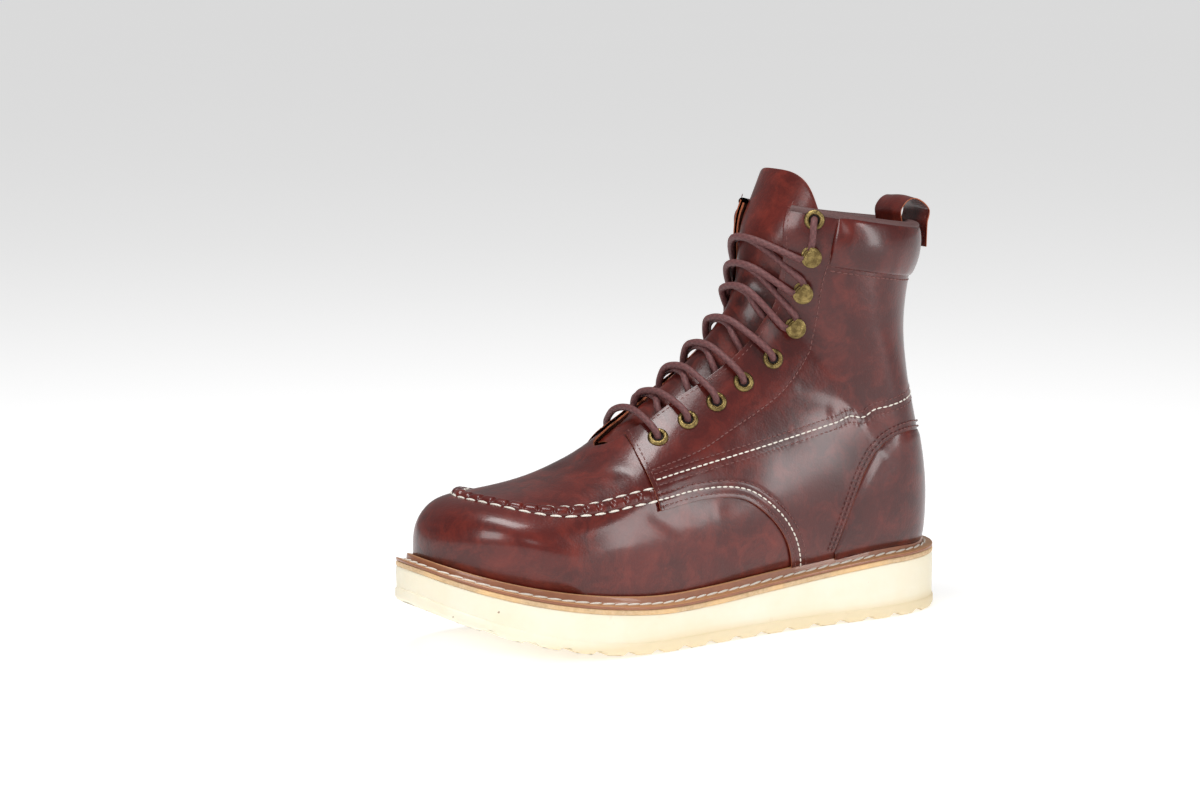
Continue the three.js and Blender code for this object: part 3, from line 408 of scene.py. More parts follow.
def sole_points(f, g):
    """The wall: f climbs its rows and g runs round the sole."""
    rows = len(SOLE_ROWS) - 1
    row = np.rint(f * rows).astype(int)
    column = np.rint(g * len(sole_turns)).astype(int) % len(sole_turns)
    inset = np.array([r[0] for r in SOLE_ROWS])[row]
    up = np.array([r[1] for r in SOLE_ROWS])[row]
    share = np.array([r[2] for r in SOLE_ROWS])[row]
    turns = sole_turns[column]
    points = ring_at(ring, turns) + ring_at(ring_inward, turns) * inset[:, None]
    x, y = points.T
    foot = bottom_z(y)
    cut = groove_depth(y) * np.clip(1.2 - up / 1.8, 0, 1)
    nubs = 0.35 * np.sin(y * 2.9) * np.sin(y * 1.3 + 1) * np.clip(1 - up / 1.2, 0, 1)
    wave = 0.06 * np.sin(y * 0.21 + up) + 0.05 * np.sin(x * 0.37 + y * 0.11)
    band_top = foot + BAND_TOP
    low_z = foot + up + np.maximum(cut + nubs, 0)
    z = np.where(share > 0, band_top + (wedge_z(y) - band_top) * share, low_z)
    out = -ring_at(ring_inward, turns) * np.where(share > 0, wave, 0)[:, None]
    return np.stack([x + out[:, 0], y + out[:, 1], z], axis=1)


def sole_cap(row, top):
    """Strips from side to side that close the wall's first or last row."""
    inset = SOLE_ROWS[row][0]
    turns = [np.concatenate([[0.0], one_side, [TOE_SHARE]]) for one_side in sole_loop]
    edges = [ring_at(ring, t) + ring_at(ring_inward, t) * inset for t in turns]

    def spot(f, g):
        k = np.rint(f * (len(turns[0]) - 1)).astype(int)
        x, y = (edges[0][k] * (1 - g[:, None]) + edges[1][k] * g[:, None]).T
        z = wedge_z(y) if top else bottom_z(y) + groove_depth(y)
        return np.stack([x, y, z], axis=1)
    return sheet("outsole_cap", len(turns[0]) - 1, 10, spot)


def joined(pieces, name):
    bpy.ops.object.select_all(action="DESELECT")
    for piece in pieces:
        piece.select_set(True)
    bpy.context.view_layer.objects.active = pieces[0]
    bpy.ops.object.join()
    pieces[0].name = name
    return pieces[0]


sole_wall = sheet("outsole_wall", len(SOLE_ROWS) - 1, len(sole_turns), sole_points)
outsole = joined([sole_wall, sole_cap(0, False), sole_cap(-1, True)], "outsole_cast")
weld(outsole, 0.05, outward=True)
smooth_faces(outsole, 38)

CREAM, CREAM_LOW, CREAM_PALE = (0.82, 0.74, 0.55), (0.74, 0.6, 0.37), (0.86, 0.81, 0.67)
foam, place, shader = material("cream_foam")
split = place.node("ShaderNodeSeparateXYZ", None, {"Vector": place}, output=2)
height_noise = place.noise(14, 3)
clouds = place.noise(26, 5, 0.6)
tone = clouds.ramp((0.3, 0.0), (0.72, 1.0)).blend(CREAM, CREAM_PALE)
low = (split + height_noise * 0.004).ramp((0.0, 1.0), (0.0085, 1.0), (0.0125, 0.0))
tone = (low * 0.75).blend(tone, CREAM_LOW)
specks = place.noise(210, 2, 0.7).ramp((0.0, 0.0), (0.735, 0.0), (0.765, 1.0))
patches = place.noise(17, 2).ramp((0.5, 0.0), (0.6, 1.0))
high = split.ramp((0.0, 0.0), (0.019, 0.0), (0.023, 1.0))
tone = (specks * patches * high).blend(tone, (0.2, 0.075, 0.02))
rub = place.noise(60, 6, 0.75).ramp((0.62, 0.0), (0.75, 1.0))
tone = (rub * 0.3).blend(tone, (0.62, 0.47, 0.27))
pores = place.noise(1500, 2).bump(0.25, 0.0003)
feed(shader, Base_Color=tone, Roughness=clouds * 0.15 + 0.5,
     Normal=place.noise(220, 4).bump(0.2, 0.0006, pores))
shader.inputs["Subsurface Weight"].default_value = 0.12
shader.inputs["Subsurface Radius"].default_value = (0.004, 0.003, 0.002)
finish(outsole, "sole_foam", ["outsole"], foam)

# Midsole: a layer of natural veg leather between wedge and welt, trimmed flush
# with the wedge, so that only its pale edge shows. It is cemented to both.
def band(name, rows, columns=720):
    """A closed profile of insets and heights swept round the sole."""
    count = len(rows)

    def spot(f, g):
        k = np.rint(f * count).astype(int) % count
        turns = np.rint(g * columns) % columns / columns
        points = np.empty((len(f), 3))
        for n, (inset, height) in enumerate(rows):
            chosen = k == n
            here = turns[chosen]
            share = np.where(here <= TOE_SHARE, here / TOE_SHARE, (1 - here) / (1 - TOE_SHARE))
            depth = inset(share) if callable(inset) else np.full(here.shape, float(inset))
            xy = ring_at(ring, here) + ring_at(ring_inward, here) * depth[:, None]
            points[chosen] = np.column_stack([xy, height(xy[:, 1])])
        return points
    piece = sheet(name, count, columns, spot)
    weld(piece, 0.001, outward=True)
    return piece


def raised(base, lift):
    return lambda y: base(y) + lift


midsole = band("midsole_layer", [
    (8, wedge_z), (0.9, wedge_z), (0.55, raised(wedge_z, 0.35)), (0.5, raised(wedge_z, 1.3)),
    (0.6, raised(midsole_z, -0.35)), (0.95, midsole_z), (8, midsole_z),
])
smooth_faces(midsole, 50)
edge_leather, place, shader = material("natural_edge_leather")
fibre = place.noise(420, 5, 0.7)
cloud = place.noise(45, 4)
tone = fibre.ramp((0.3, 0.0), (0.75, 1.0)).blend((0.5, 0.32, 0.16), (0.72, 0.53, 0.33))
tone = cloud.ramp((0.45, 0.0), (0.7, 1.0)).blend(tone, (0.8, 0.52, 0.25))
feed(shader, Base_Color=tone, Roughness=0.55, Normal=fibre.bump(0.35, 0.0006))
finish(midsole, "edge_leather", ["midsole"], edge_leather)

# Welt: a strip of tan leather sewn to the upper and the midsole, with a storm
# lip turned up against the upper and a row of white lockstitch at its foot.
LIP_HEIGHT, LIP_INSET = 4, 5.6
OVERLAY, COUNTER, WALL = 1.6, 0.8, 2.2
FEATHER_INSET = 9
WAIST_SHARES = (0.38, 0.47)


def feather_inset(share):
    fade = 1 - (np.asarray(share, float) - WAIST_SHARES[0]) / (WAIST_SHARES[1] - WAIST_SHARES[0])
    fade = np.clip(fade, 0, 1)
    return FEATHER_INSET + (OVERLAY + COUNTER) * fade * fade * (3 - 2 * fade)


welt = band("welt_strip", [
    (feather_inset, raised(midsole_z, 0.1)), (1.0, raised(midsole_z, 0.1)), (0.6, raised(midsole_z, 0.45)),
    (0.55, raised(flange_z, -0.5)), (0.85, raised(flange_z, -0.08)), (1.3, flange_z),
    (LIP_INSET - 0.5, raised(flange_z, 0.05)), (LIP_INSET + 0.1, raised(flange_z, 0.5)),
    (LIP_INSET + 0.2, raised(flange_z, 1.6)), (LIP_INSET + 0.35, raised(flange_z, LIP_HEIGHT - 0.6)),
    (LIP_INSET + 0.75, raised(flange_z, LIP_HEIGHT - 0.05)), (LIP_INSET + 1.4, raised(flange_z, LIP_HEIGHT)),
    (LIP_INSET + 3.0, raised(flange_z, LIP_HEIGHT - 0.4)),
])
smooth_faces(welt, 60)
welt_leather, place, shader = material("tan_welt_leather")
split = place.node("ShaderNodeSeparateXYZ", None, {"Vector": place}, output=2)
# Painted light and shade: faces turned up take the lighter flat tone, and upright faces such as the lip take
# a darker painted-shade tone, by which way they face.
facing = place.node("ShaderNodeNewGeometry", output=1)
painted_light_by_facing = place.node("ShaderNodeSeparateXYZ", None, {"Vector": facing}, output=2)
fibre = place.noise(300, 5, 0.65)
flat_tone = fibre.blend((0.4, 0.19, 0.08), (0.58, 0.31, 0.15))
upright_painted_shade_tone = fibre.blend((0.2, 0.07, 0.032), (0.34, 0.13, 0.06))
tone = painted_light_by_facing.ramp((0.35, 0.0), (0.75, 1.0)).blend(upright_painted_shade_tone, flat_tone)
stain = place.noise(32, 4).ramp((0.5, 0.0), (0.75, 1.0)) * 0.45
tone = stain.blend(tone, (0.4, 0.15, 0.06))
feed(shader, Base_Color=tone, Roughness=0.42, Coat_Weight=0.25, Normal=fibre.bump(0.2, 0.0004))
finish(welt, "welt_leather", ["welt"], welt_leather)

LOCKSTITCH_PITCH = 7.2
white_thread, place, shader = material("white_waxed_thread")
twist = place.noise(1300, 2)
feed(shader, Base_Color=twist.blend((0.62, 0.56, 0.47), (0.88, 0.84, 0.77)), Roughness=0.6,
     Normal=twist.bump(0.4, 0.0003))


def bead(name, size):
    """One stitch: a long bead of thread, lying along X."""
    bpy.ops.object.select_all(action="DESELECT")
    bpy.ops.mesh.primitive_uv_sphere_add(segments=8, ring_count=6, radius=0.5)
    made = bpy.context.object
    made.name = name
    points = np.array([v.co for v in made.data.vertices])
    points = points[:, [2, 0, 1]] * np.array(size)
    faces = [tuple(p.vertices) for p in made.data.polygons]
    bpy.data.objects.remove(made)
    return points, faces


def stitches(name, line, normals, pitch, size, thread, slant=0.0, lift=0.0, slot="upper_leather", sag=0.0):
    """A seam: copies of one bead along a line of points, joined in one mesh."""
    points, faces = bead(name, size)
    points[:, 2] += sag * (4 * (points[:, 0] / size[0]) ** 2)
    steps = np.linalg.norm(np.diff(line, axis=0), axis=1)
    run = np.concatenate([[0], np.cumsum(steps)])
    count = max(int(run[-1] / pitch), 1)
    chooser = random.Random(len(name) * 31 + count)
    vertices, all_faces = [], []
    for k in range(count):
        at = run[-1] * (k + 0.5) / count

        def spot(values, place_at):
            return np.array([np.interp(place_at, run, values[:, c]) for c in range(3)])
        middle, normal = spot(line, at), spot(normals, at)
        ahead = spot(line, min(at + 0.8, run[-1])) - spot(line, max(at - 0.8, 0))
        ahead /= np.linalg.norm(ahead)
        normal -= ahead * normal.dot(ahead)
        normal /= np.linalg.norm(normal)
        aside = np.cross(normal, ahead)
        lean = slant + chooser.uniform(-0.05, 0.05)
        forward = ahead * math.cos(lean) + aside * math.sin(lean)
        sideways = aside * math.cos(lean) - ahead * math.sin(lean)
        length = chooser.uniform(0.93, 1.05)
        first = len(vertices)
        turned = points[:, :1] * length * forward + points[:, 1:2] * sideways + points[:, 2:] * normal
        vertices.extend((turned + middle + normal * lift) * MM)
        all_faces.extend(tuple(first + i for i in face) for face in faces)
    mesh = bpy.data.meshes.new(name)
    mesh.from_pydata(vertices, [], all_faces)
    piece = bpy.data.objects.new(name, mesh)
    bpy.context.collection.objects.link(piece)
    weld(piece, 0.001, outward=True)
    smooth_faces(piece, 80)
    finish(piece, slot, [], thread)
    return piece


turns = np.linspace(0, 1, 900)
lip_foot = ring_at(ring, turns) + ring_at(ring_inward, turns) * (LIP_INSET - 0.6)
lock_line = np.column_stack([lip_foot, flange_z(lip_foot[:, 1]) + 0.35])
lock_normal = np.column_stack([-ring_at(ring_inward, turns) * 0.5, np.ones(len(turns))])
stitches("welt_lockstitch", lock_line, lock_normal, LOCKSTITCH_PITCH, (8.2, 1.25, 1.2), white_thread,
         slant=0.13, slot="lace_cord")

# Insole: a leather board that the foot stands on, sunk between the walls of
# the upper, with its sock lining's grain side up.
INSOLE_RISE = 3


def insole_spot(f, g):
    share = f
    inset = feather_inset(share) + WALL + 4 * GAP
    lateral, medial = outline_at(share, 1, inset), outline_at(share, -1, inset)
    x, y = (lateral * (1 - g[:, None]) + medial * g[:, None]).T
    return np.column_stack([x, y, flange_z(y) + INSOLE_RISE - 0.8 * np.cos((g - 0.5) * math.pi) * (1 - f)])


insole = sheet("insole_board", 120, 16, insole_spot)
weld(insole, 0.01)
thicken(insole, 3, rim=0, edge=0)
smooth_faces(insole, 60)
lining_leather, place, shader = material("lining_leather")
nap = place.noise(700, 4, 0.7)
tone = place.noise(40, 3).blend((0.26, 0.11, 0.075), (0.42, 0.2, 0.14))
feed(shader, Base_Color=nap.blend(tone, (0.42, 0.2, 0.14)), Roughness=0.8, Normal=nap.bump(0.3, 0.0005))
finish(insole, "lining_leather", ["insole"], lining_leather)

# Upper, first layer: vamp and plug of oxblood pull-up leather over a lining,
# lasted as one shell from the feather line to the collar and open at the
# throat. Its shape comes from the sections of the last.
UPPER_WIDTH, SHAFT_WIDTH = 98, 80
INSTEP_HEIGHT, SHAFT_RISE, BACK_HEIGHT = 107, 86, 165
UPPER = np.array([
    # front, rise, base, back, crown, lateral, medial, girth, lower, upper
    [1, 0, 0.7775, 0, -0.09, 0.44, 0.46, 0.3, 1.2, 0.9],
    [0.999, 0.083, 0.7775, 0, -0.09, 0.455, 0.475, 0.34, 1.2, 0.88],
    [0.9965, 0.168, 0.7775, 0, -0.09, 0.47, 0.485, 0.36, 1.2, 0.86],
    [0.9785, 0.262, 0.7775, 0, -0.088, 0.48, 0.49, 0.36, 1.2, 0.84],
    [0.948, 0.345, 0.7775, 0, -0.085, 0.485, 0.49, 0.36, 1.2, 0.8],
    [0.904, 0.392, 0.7775, 0, -0.08, 0.487, 0.49, 0.36, 1.3, 0.77],
    [0.8465, 0.435, 0.7775, 0, -0.075, 0.488, 0.49, 0.36, 1.35, 0.77],
    [0.7775, 0.495, 0.7775, 0, -0.07, 0.487, 0.487, 0.36, 1.4, 0.79],
    [0.7075, 0.58, 0.719, 0, -0.065, 0.48, 0.475, 0.34, 1.4, 0.84],
    [0.6396, 0.705, 0.65, 0, -0.06, 0.463, 0.45, 0.32, 1.4, 0.95],
    [0.5724, 0.855, 0.5757, 0, -0.055, 0.437, 0.415, 0.3, 1.4, 1.1],
    [0.5066, 1, 0.4854, 0, -0.045, 0.415, 0.385, 0.28, 1.35, 1.1],
    [0.4579, 1.128, 0.3844, 0, -0.04, 0.43, 0.405, 0.28, 1.3, 1.08],
    [0.4258, 1.238, 0.2838, 0, -0.03, 0.428, 0.408, 0.28, 1.25, 1.06],
    [0.407, 1.337, 0.1828, 0, -0.02, 0.43, 0.413, 0.28, 1.2, 1.04],
    [0.3952, 1.419, 0.1031, 0, -0.01, 0.435, 0.42, 0.28, 1.15, 1.02],
    [0.3882, 1.477, 0.0501, 0, 0, 0.44, 0.428, 0.28, 1.1, 1],
    [0.384, 1.523, 0.0205, 0, 0, 0.447, 0.436, 0.29, 1.05, 0.98],
    [0.3809, 1.558, 0, 0, 0, 0.455, 0.445, 0.3, 1.02, 0.97],
    [0.3771, 1.605, -0.0031, 0.079, 0, 0.457, 0.449, 0.31, 1, 0.96],
    [0.374, 1.645, -0.0042, 0.158, 0, 0.455, 0.45, 0.32, 1, 0.95],
    [0.3708, 1.686, 0.0045, 0.267, 0, 0.46, 0.455, 0.34, 1, 0.95],
    [0.3666, 1.733, 0.0219, 0.388, 0, 0.468, 0.462, 0.37, 1, 0.94],
    [0.3621, 1.779, 0.038, 0.509, 0, 0.476, 0.47, 0.4, 1, 0.93],
    [0.3569, 1.826, 0.0487, 0.63, 0, 0.484, 0.478, 0.43, 1, 0.92],
    [0.351, 1.878, 0.047, 0.764, 0, 0.492, 0.487, 0.46, 1, 0.91],
    [0.3444, 1.93, 0.032, 0.903, 0, 0.5, 0.495, 0.48, 0.98, 0.9],
    [0.3325, 2, 0.0205, 1.006, 0, 0.505, 0.5, 0.49, 0.96, 0.9],
    [0.304, 2.22, 0.0153, 1.09, 0, 0.505, 0.5, 0.49, 0.96, 0.9],
])
PIVOT_ROW, INSTEP_ROW, HEEL_ROW = 7, 11, 18
LAST_ROW = len(UPPER) - 1
feather_line = {side: outline_at(fine_share, side, feather_inset(fine_share)) for side in (1, -1)}
feather_tip, feather_heel = feather_line[1][-1], feather_line[1][0]
instep_y = feather_heel[1] + (feather_tip[1] - feather_heel[1]) * UPPER[INSTEP_ROW, 0]


def feather_at(y, side):
    line = feather_line[side]
    falling = -np.minimum.accumulate(line[:, 1])
    share = np.interp(-y, falling, fine_share)
    return np.interp(share, fine_share, line[:, 0]), share


def half_section(u, side, count=120):
    """Half a section of the last, base to crown, at even steps of girth."""
    front, rise, base, back, crown, lateral, medial, girth, lower, upper = [
        float(smooth(np.arange(LAST_ROW + 1), column, u)) for column in UPPER.T]
    blend = min(max((u - INSTEP_ROW) / (HEEL_ROW - INSTEP_ROW), 0), 1)
    width = UPPER_WIDTH + (SHAFT_WIDTH - UPPER_WIDTH) * blend
    base_y = feather_heel[1] + (feather_tip[1] - feather_heel[1]) * base
    front_y = feather_heel[1] + (feather_tip[1] - feather_heel[1]) * front
    base_z = feather_z(base_y) + back * BACK_HEIGHT
    ground = feather_z(max(min(front_y, instep_y), feather_tip[1]))
    front_z = ground + INSTEP_HEIGHT * min(rise, 1) + SHAFT_RISE * max(rise - 1, 0)
    foot, share = (0.0, 0.0) if u >= HEEL_ROW else feather_at(base_y, side)
    widest = (lateral if side > 0 else -medial) * width
    f = np.linspace(0, 1, 241)
    low = np.minimum(f / girth, 1) * math.pi / 2
    high = np.maximum((f - girth) / (1 - girth), 0) * math.pi / 2
    crown_x = crown * width
    x = np.where(high > 0, crown_x + (widest - crown_x) * np.cos(high).clip(0) ** upper,
                 foot + (widest - foot) * np.sin(low) ** lower)
    climb = np.where(high > 0, girth + (1 - girth) * np.sin(high) ** upper,
                     girth * (1 - np.cos(low).clip(0) ** lower))
    points = np.column_stack([x, base_y + (front_y - base_y) * climb, base_z + (front_z - base_z) * climb])
    plan = max(1 - u / PIVOT_ROW, 0) ** 2
    if plan > 0:
        at = share + (1 - share) * f
        rim = outline_at(at, side, feather_inset(at))
        reach = (base_y - front_y) / (base_y - feather_tip[1])
        run = (rim[:, 1] - base_y) / (feather_tip[1] - base_y)
        straight = feather_z(base_y) + (feather_z(feather_tip[1]) - feather_z(base_y)) * run
        z = base_z + (front_z - base_z) * run + (feather_z(rim[:, 1]) - straight) * plan
        flat = np.column_stack([rim[:, 0], base_y + (rim[:, 1] - base_y) * reach, z])
        points = points * (1 - plan) + flat * plan
    run = np.concatenate([[0], np.cumsum(np.linalg.norm(np.diff(points, axis=0), axis=1))])
    even = np.linspace(0, run[-1], count + 1)
    return np.column_stack([np.interp(even, run, points[:, c]) for c in range(3)])


ROW_STEPS, HALF_COUNT = 10, 120
lattice_rows = LAST_ROW * ROW_STEPS + 1
lattice = np.array([np.concatenate([
    half_section(k / ROW_STEPS, 1, HALF_COUNT), half_section(k / ROW_STEPS, -1, HALF_COUNT)[-2::-1],
]) for k in range(lattice_rows)])
lattice = soften(lattice, 6)
heel_rows = np.arange(lattice_rows) >= HEEL_ROW * ROW_STEPS
lattice[heel_rows, 0] = lattice[heel_rows, -1] = (lattice[heel_rows, 0] + lattice[heel_rows, -1]) / 2
lattice = soften(lattice.transpose(1, 0, 2), 1.2).transpose(1, 0, 2)


def cubic(f):
    return np.stack([-f + 2 * f ** 2 - f ** 3, 2 - 5 * f ** 2 + 3 * f ** 3, f + 4 * f ** 2 - 3 * f ** 3,
                     f ** 3 - f ** 2]) / 2


def skin(u, t):
    """The last's outer face: u counts sections, t runs over the crown."""
    u, t = np.broadcast_arrays(np.asarray(u, float), np.asarray(t, float))
    t = np.where(t == 1, 1.0, t % 1)
    a, b = np.clip(u, 0, LAST_ROW) * ROW_STEPS, t * 2 * HALF_COUNT
    i, j = np.minimum(a.astype(int), lattice_rows - 2), np.minimum(b.astype(int), 2 * HALF_COUNT - 1)
    wu, wt = cubic(a - i), cubic(b - j)
    total = 0
    for m in range(4):
        for n in range(4):
            row = np.clip(i + m - 1, 0, lattice_rows - 1)
            column = j + n - 1
            around = np.where(u >= HEEL_ROW, column % (2 * HALF_COUNT), np.clip(column, 0, 2 * HALF_COUNT))
            total = total + (wu[m] * wt[n])[..., None] * lattice[row, around]
    return total


def skin_normal(u, t):
    u, t = np.broadcast_arrays(np.asarray(u, float), np.asarray(t, float))
    du, dt = 0.12, 0.008
    fan = u < PIVOT_ROW + 0.5
    middle = np.where(fan, np.clip(t, 0.03, 0.97), t)
    low = np.where(u >= HEEL_ROW, t - dt, np.clip(t - dt, 0, 1))
    high = np.where(u >= HEEL_ROW, t + dt, np.clip(t + dt, 0, 1))
    across = skin(u, high) - skin(u, low)
    up = skin(np.minimum(u + du, LAST_ROW), middle) - skin(np.maximum(u - du, 0), middle)
    normal = np.cross(up, across)
    return normal / np.maximum(np.linalg.norm(normal, axis=-1), 1e-9)[..., None]


def off_skin(u, t, offset):
    return skin(u, t) + skin_normal(u, t) * np.asarray(offset, float)[..., None]


HEIGHT = float(feather_z(instep_y)) + INSTEP_HEIGHT + SHAFT_RISE
COLLAR = np.array([[0.0, 0.925], [0.1, 0.935], [0.2, 0.955], [0.29, 0.978], [0.36, 0.998], [0.45, 1.03]])


def collar_z(y):
    return HEIGHT * smooth(COLLAR[:, 0], COLLAR[:, 1], along_of(y))


def row_below_collar(t, drop):
    """The section at which the upper is this far under the collar's edge."""
    t = np.asarray(t, float)
    low, high = np.full(t.shape, 18.0), np.full(t.shape, float(LAST_ROW))
    for _ in range(22):
        middle = (low + high) / 2
        p = skin(middle, t)
        under = p[..., 2] < collar_z(p[..., 1]) - drop
        low, high = np.where(under, middle, low), np.where(under, high, middle)
    return low


# half the throat's width at some sections, for the plug and for the quarters
PLUG_THROAT = np.array([[8.72, 0.0], [8.78, 0.02], [8.9, 0.036], [9.3, 0.047], [9.65, 0.072], [10.2, 0.073],
                        [10.6, 0.074], [11.4, 0.08], [13.1, 0.08], [16.3, 0.069], [20.6, 0.073],
                        [23.2, 0.086], [26.9, 0.082], [28, 0.082]])
QUARTER_THROAT = np.array([[9.3, 0.051], [9.7, 0.068], [10.2, 0.073], *PLUG_THROAT[6:].tolist()])


def throat_half(table, u):
    return np.where(u < table[0, 0], 0.0, smooth(table[:, 0], table[:, 1], u))


def arc_length(line):
    return np.concatenate([[0], np.cumsum(np.linalg.norm(np.diff(line, axis=0), axis=1))])


def seam_line(rows, side, offset, count=240):
    """A fair line through (section, share) rows on one side, and its normals."""
    rows = np.array(rows, float)
    t = rows[:, 1] if side > 0 else -rows[:, 1] + (1 if rows[:, 1].min() >= 0 else 0)
    run = arc_length(skin(rows[:, 0], t))
    at = np.linspace(0, run[-1], count)
    u, t = smooth(run, rows[:, 0], at), smooth(run, t, at)
    t = np.where((u < HEEL_ROW) & (t == 1), 1.0, t)
    return off_skin(u, t, np.full(count, float(offset))), skin_normal(u, t)


def relief(points, lines):
    """Depth at each point of the furrows (line, depth, half-width) near it."""
    depth = np.zeros(len(points))
    for line, sink, reach in lines:
        sparse = line[::3]
        for first in range(0, len(points), 4000):
            chunk = points[first:first + 4000]
            gap = np.linalg.norm(chunk[:, None] - sparse[None], axis=2).min(axis=1)
            depth[first:first + 4000] += sink * np.exp(-(gap / reach) ** 2)
    return depth


# soft folds of the leather: rows of (section, share), depth and half-width
VAMP_FOLDS = [
    ([(8.35, 0.43), (8.2, 0.5), (8.4, 0.58)], 0.5, 3.2),
    ([(7.75, 0.36), (7.6, 0.44), (7.7, 0.52)], 0.3, 3.5),
    ([(8.6, 0.34), (8.3, 0.37), (8.1, 0.42)], 0.45, 3.0),
    ([(10.2, 0.12), (9.6, 0.17), (9.2, 0.2)], 0.35, 4.0),
    ([(11.2, 0.05), (10.9, 0.12), (10.9, 0.17)], 0.3, 3.5),
]
vamp_furrows = [(seam_line(rows, 1, 0)[0], depth, reach) for rows, depth, reach in VAMP_FOLDS]


def shell_side(side):
    def spot(f, g):
        v, w = f, (g if side > 0 else 1 - g)
        u = np.where(v < 0.8, v / 0.8 * 22, 22.0)
        t_high = 0.5 - throat_half(PLUG_THROAT, u)
        t = w * t_high
        t_side = t if side > 0 else 1 - t
        top = row_below_collar(t_side, 0.8)
        u = np.where(v < 0.8, u, 22 + (top - 22) * (v - 0.8) / 0.2)
        t = w * (0.5 - throat_half(PLUG_THROAT, u))
        t_side = t if side > 0 else 1 - t
        points = off_skin(u, t_side, np.zeros(len(u)))
        normal = skin_normal(u, t_side)
        waves = 0.05 * np.sin(points[:, 1] * 0.16 + points[:, 2] * 0.1) * np.sin(points[:, 2] * 0.13)
        return points + normal * (waves - relief(points, vamp_furrows))[:, None]
    return sheet("shell_side", 190, 84, spot)


shell = joined([shell_side(1), shell_side(-1)], "vamp_shell")
weld(shell, 0.05)
modify(shell, "SMOOTH", factor=0.5, iterations=2)
thicken(shell, WALL, rim=1, inner=2, edge=0.3, even=False)
smooth_faces(shell, 50)


def pull_up_leather(name, deep, body, lit, shine=0.7):
    """Oiled leather: mottled, glossy, with fine grain and drawn wrinkles."""
    made, place, shader = material(name)
    drift = place.noise(16, 4, 0.6, 0.4)
    clouds = place.noise(75, 6, 0.68, 0.6)
    tone = drift.ramp((0.36, 0.0), (0.66, 1.0)).blend(deep, body)
    tone = clouds.ramp((0.46, 0.0), (0.74, 1.0)).blend(tone, lit)
    dark = place.noise(48, 5, 0.7, 1.2).ramp((0.3, 1.0), (0.5, 0.0)) * 0.4
    tone = dark.blend(tone, deep)
    fleck = place.noise(520, 3, 0.7).ramp((0.55, 0.0), (0.78, 1.0)) * 0.3
    tone = fleck.blend(tone, lit)
    pebble = place.node("ShaderNodeTexVoronoi", {"feature": "SMOOTH_F1"},
                        {"Vector": place, "Scale": 950.0, "Smoothness": 0.6})
    grain = pebble.bump(0.16, 0.00035)
    fine = place.noise(1700, 2, 0.6).bump(0.12, 0.0002, grain)
    drawn = place.noise(120, 4, 0.6, 0.8).bump(0.16, 0.0011, fine)
    slack = place.noise(32, 2, 0.5).bump(0.2, 0.0028, drawn)
    feed(shader, Base_Color=tone, Roughness=clouds * 0.12 + 0.3, Normal=slack,
         Coat_Weight=clouds * 0.25 + shine * 0.5)
    shader.inputs["Coat Roughness"].default_value = 0.17
    shader.inputs["Coat IOR"].default_value = 1.5
    shader.inputs["Specular IOR Level"].default_value = 0.28
    return made


OXBLOOD_DEEP, OXBLOOD, OXBLOOD_LIT = (0.036, 0.0034, 0.0028), (0.098, 0.0085, 0.0055), (0.16, 0.016, 0.008)
vamp_leather = pull_up_leather("oxblood_vamp_leather", OXBLOOD_DEEP, OXBLOOD, OXBLOOD_LIT)
raw_edge, place, shader = material("raw_leather_edge")
fibre = place.noise(900, 4, 0.75)
tone = fibre.blend((0.26, 0.06, 0.025), (0.46, 0.14, 0.055))
feed(shader, Base_Color=tone, Roughness=0.85, Normal=fibre.bump(0.7, 0.0007))
finish(shell, "upper_leather", ["upper"], vamp_leather, raw_edge, lining_leather)

# Quarters: one each side, of the same leather, laid over the vamp from the
# throat to the back seam and stitched down along their front and lower edges.
QUARTER_LOW_ROW = 12.6
QUARTER_LOW = [(9.29, 0.2091), (10.45, 0.2024), (11.55, 0.1774), (12.14, 0.1312), (12.47, 0.0759),
               (QUARTER_LOW_ROW, 0.0)]
QUARTER_FRONT = [(9.29, 0.2091), (9.18, 0.3417), (9.3, 0.449)]
def traced(path, start):
    """Rows (section, share) of a seam whose side view, y and z, is given."""
    here, rows = np.array(start, float), []
    for target in path:
        for _ in range(8):
            p = skin(*here)
            by_u = (skin(here[0] + 0.05, here[1]) - p)[1:] / 0.05
            by_t = (skin(here[0], here[1] + 0.002) - p)[1:] / 0.002
            step = np.linalg.solve(np.column_stack([by_u, by_t]), target - p[1:])
            here = here + np.clip(step, (-0.5, -0.02), (0.5, 0.02))
        rows.append(tuple(here))
    return rows


def bowed(first, middle, last, count=16):
    """A curve in side view through three places on the upper."""
    first, middle, last = (skin(*place_on)[1:] for place_on in (first, middle, last))
    corner = middle * 2 - (first + last) / 2
    f = np.linspace(0, 1, count)[:, None]
    return first * (1 - f) ** 2 + corner * 2 * f * (1 - f) + last * f * f


WHITE_FRONT, WHITE_BACK = (9.36, 0.2805), (22.6, 0.075)
white_ends = skin(*WHITE_FRONT)[1:], skin(*WHITE_BACK)[1:]
white_path = white_ends[0] + (white_ends[1] - white_ends[0]) * np.linspace(0, 1, 16)[:, None]
WHITE_SEAM = [*traced(white_path, WHITE_FRONT), (22.75, 0.035), (22.8, 0.0)]
COUNTER_SEAM = [*traced(bowed((13.54, 0.0317), (16.6, 0.188), (21.3, 0.09)), (13.54, 0.0317)), (21.7, 0.03)]
EYESTAY_SEAM = [(9.32, 0.3075), (10.72, 0.2983), (11.9, 0.3106), (13.64, 0.3249), (16.4, 0.353),
                (18.84, 0.3626),
                (22.37, 0.3437), (25.15, 0.3198), (26.9, 0.322)]
CUFF_REACH = 0.322


def beside(line, normals, across):
    """A line moved sideways over the face it lies on."""
    ahead = np.gradient(line, axis=0)
    ahead /= np.linalg.norm(ahead, axis=1)[:, None]
    aside = np.cross(normals, ahead)
    return line + aside * across


def edge_row(table, side, across, offset=OVERLAY):
    line, normals = seam_line(table, side, offset)
    return beside(line, normals, across * side), normals


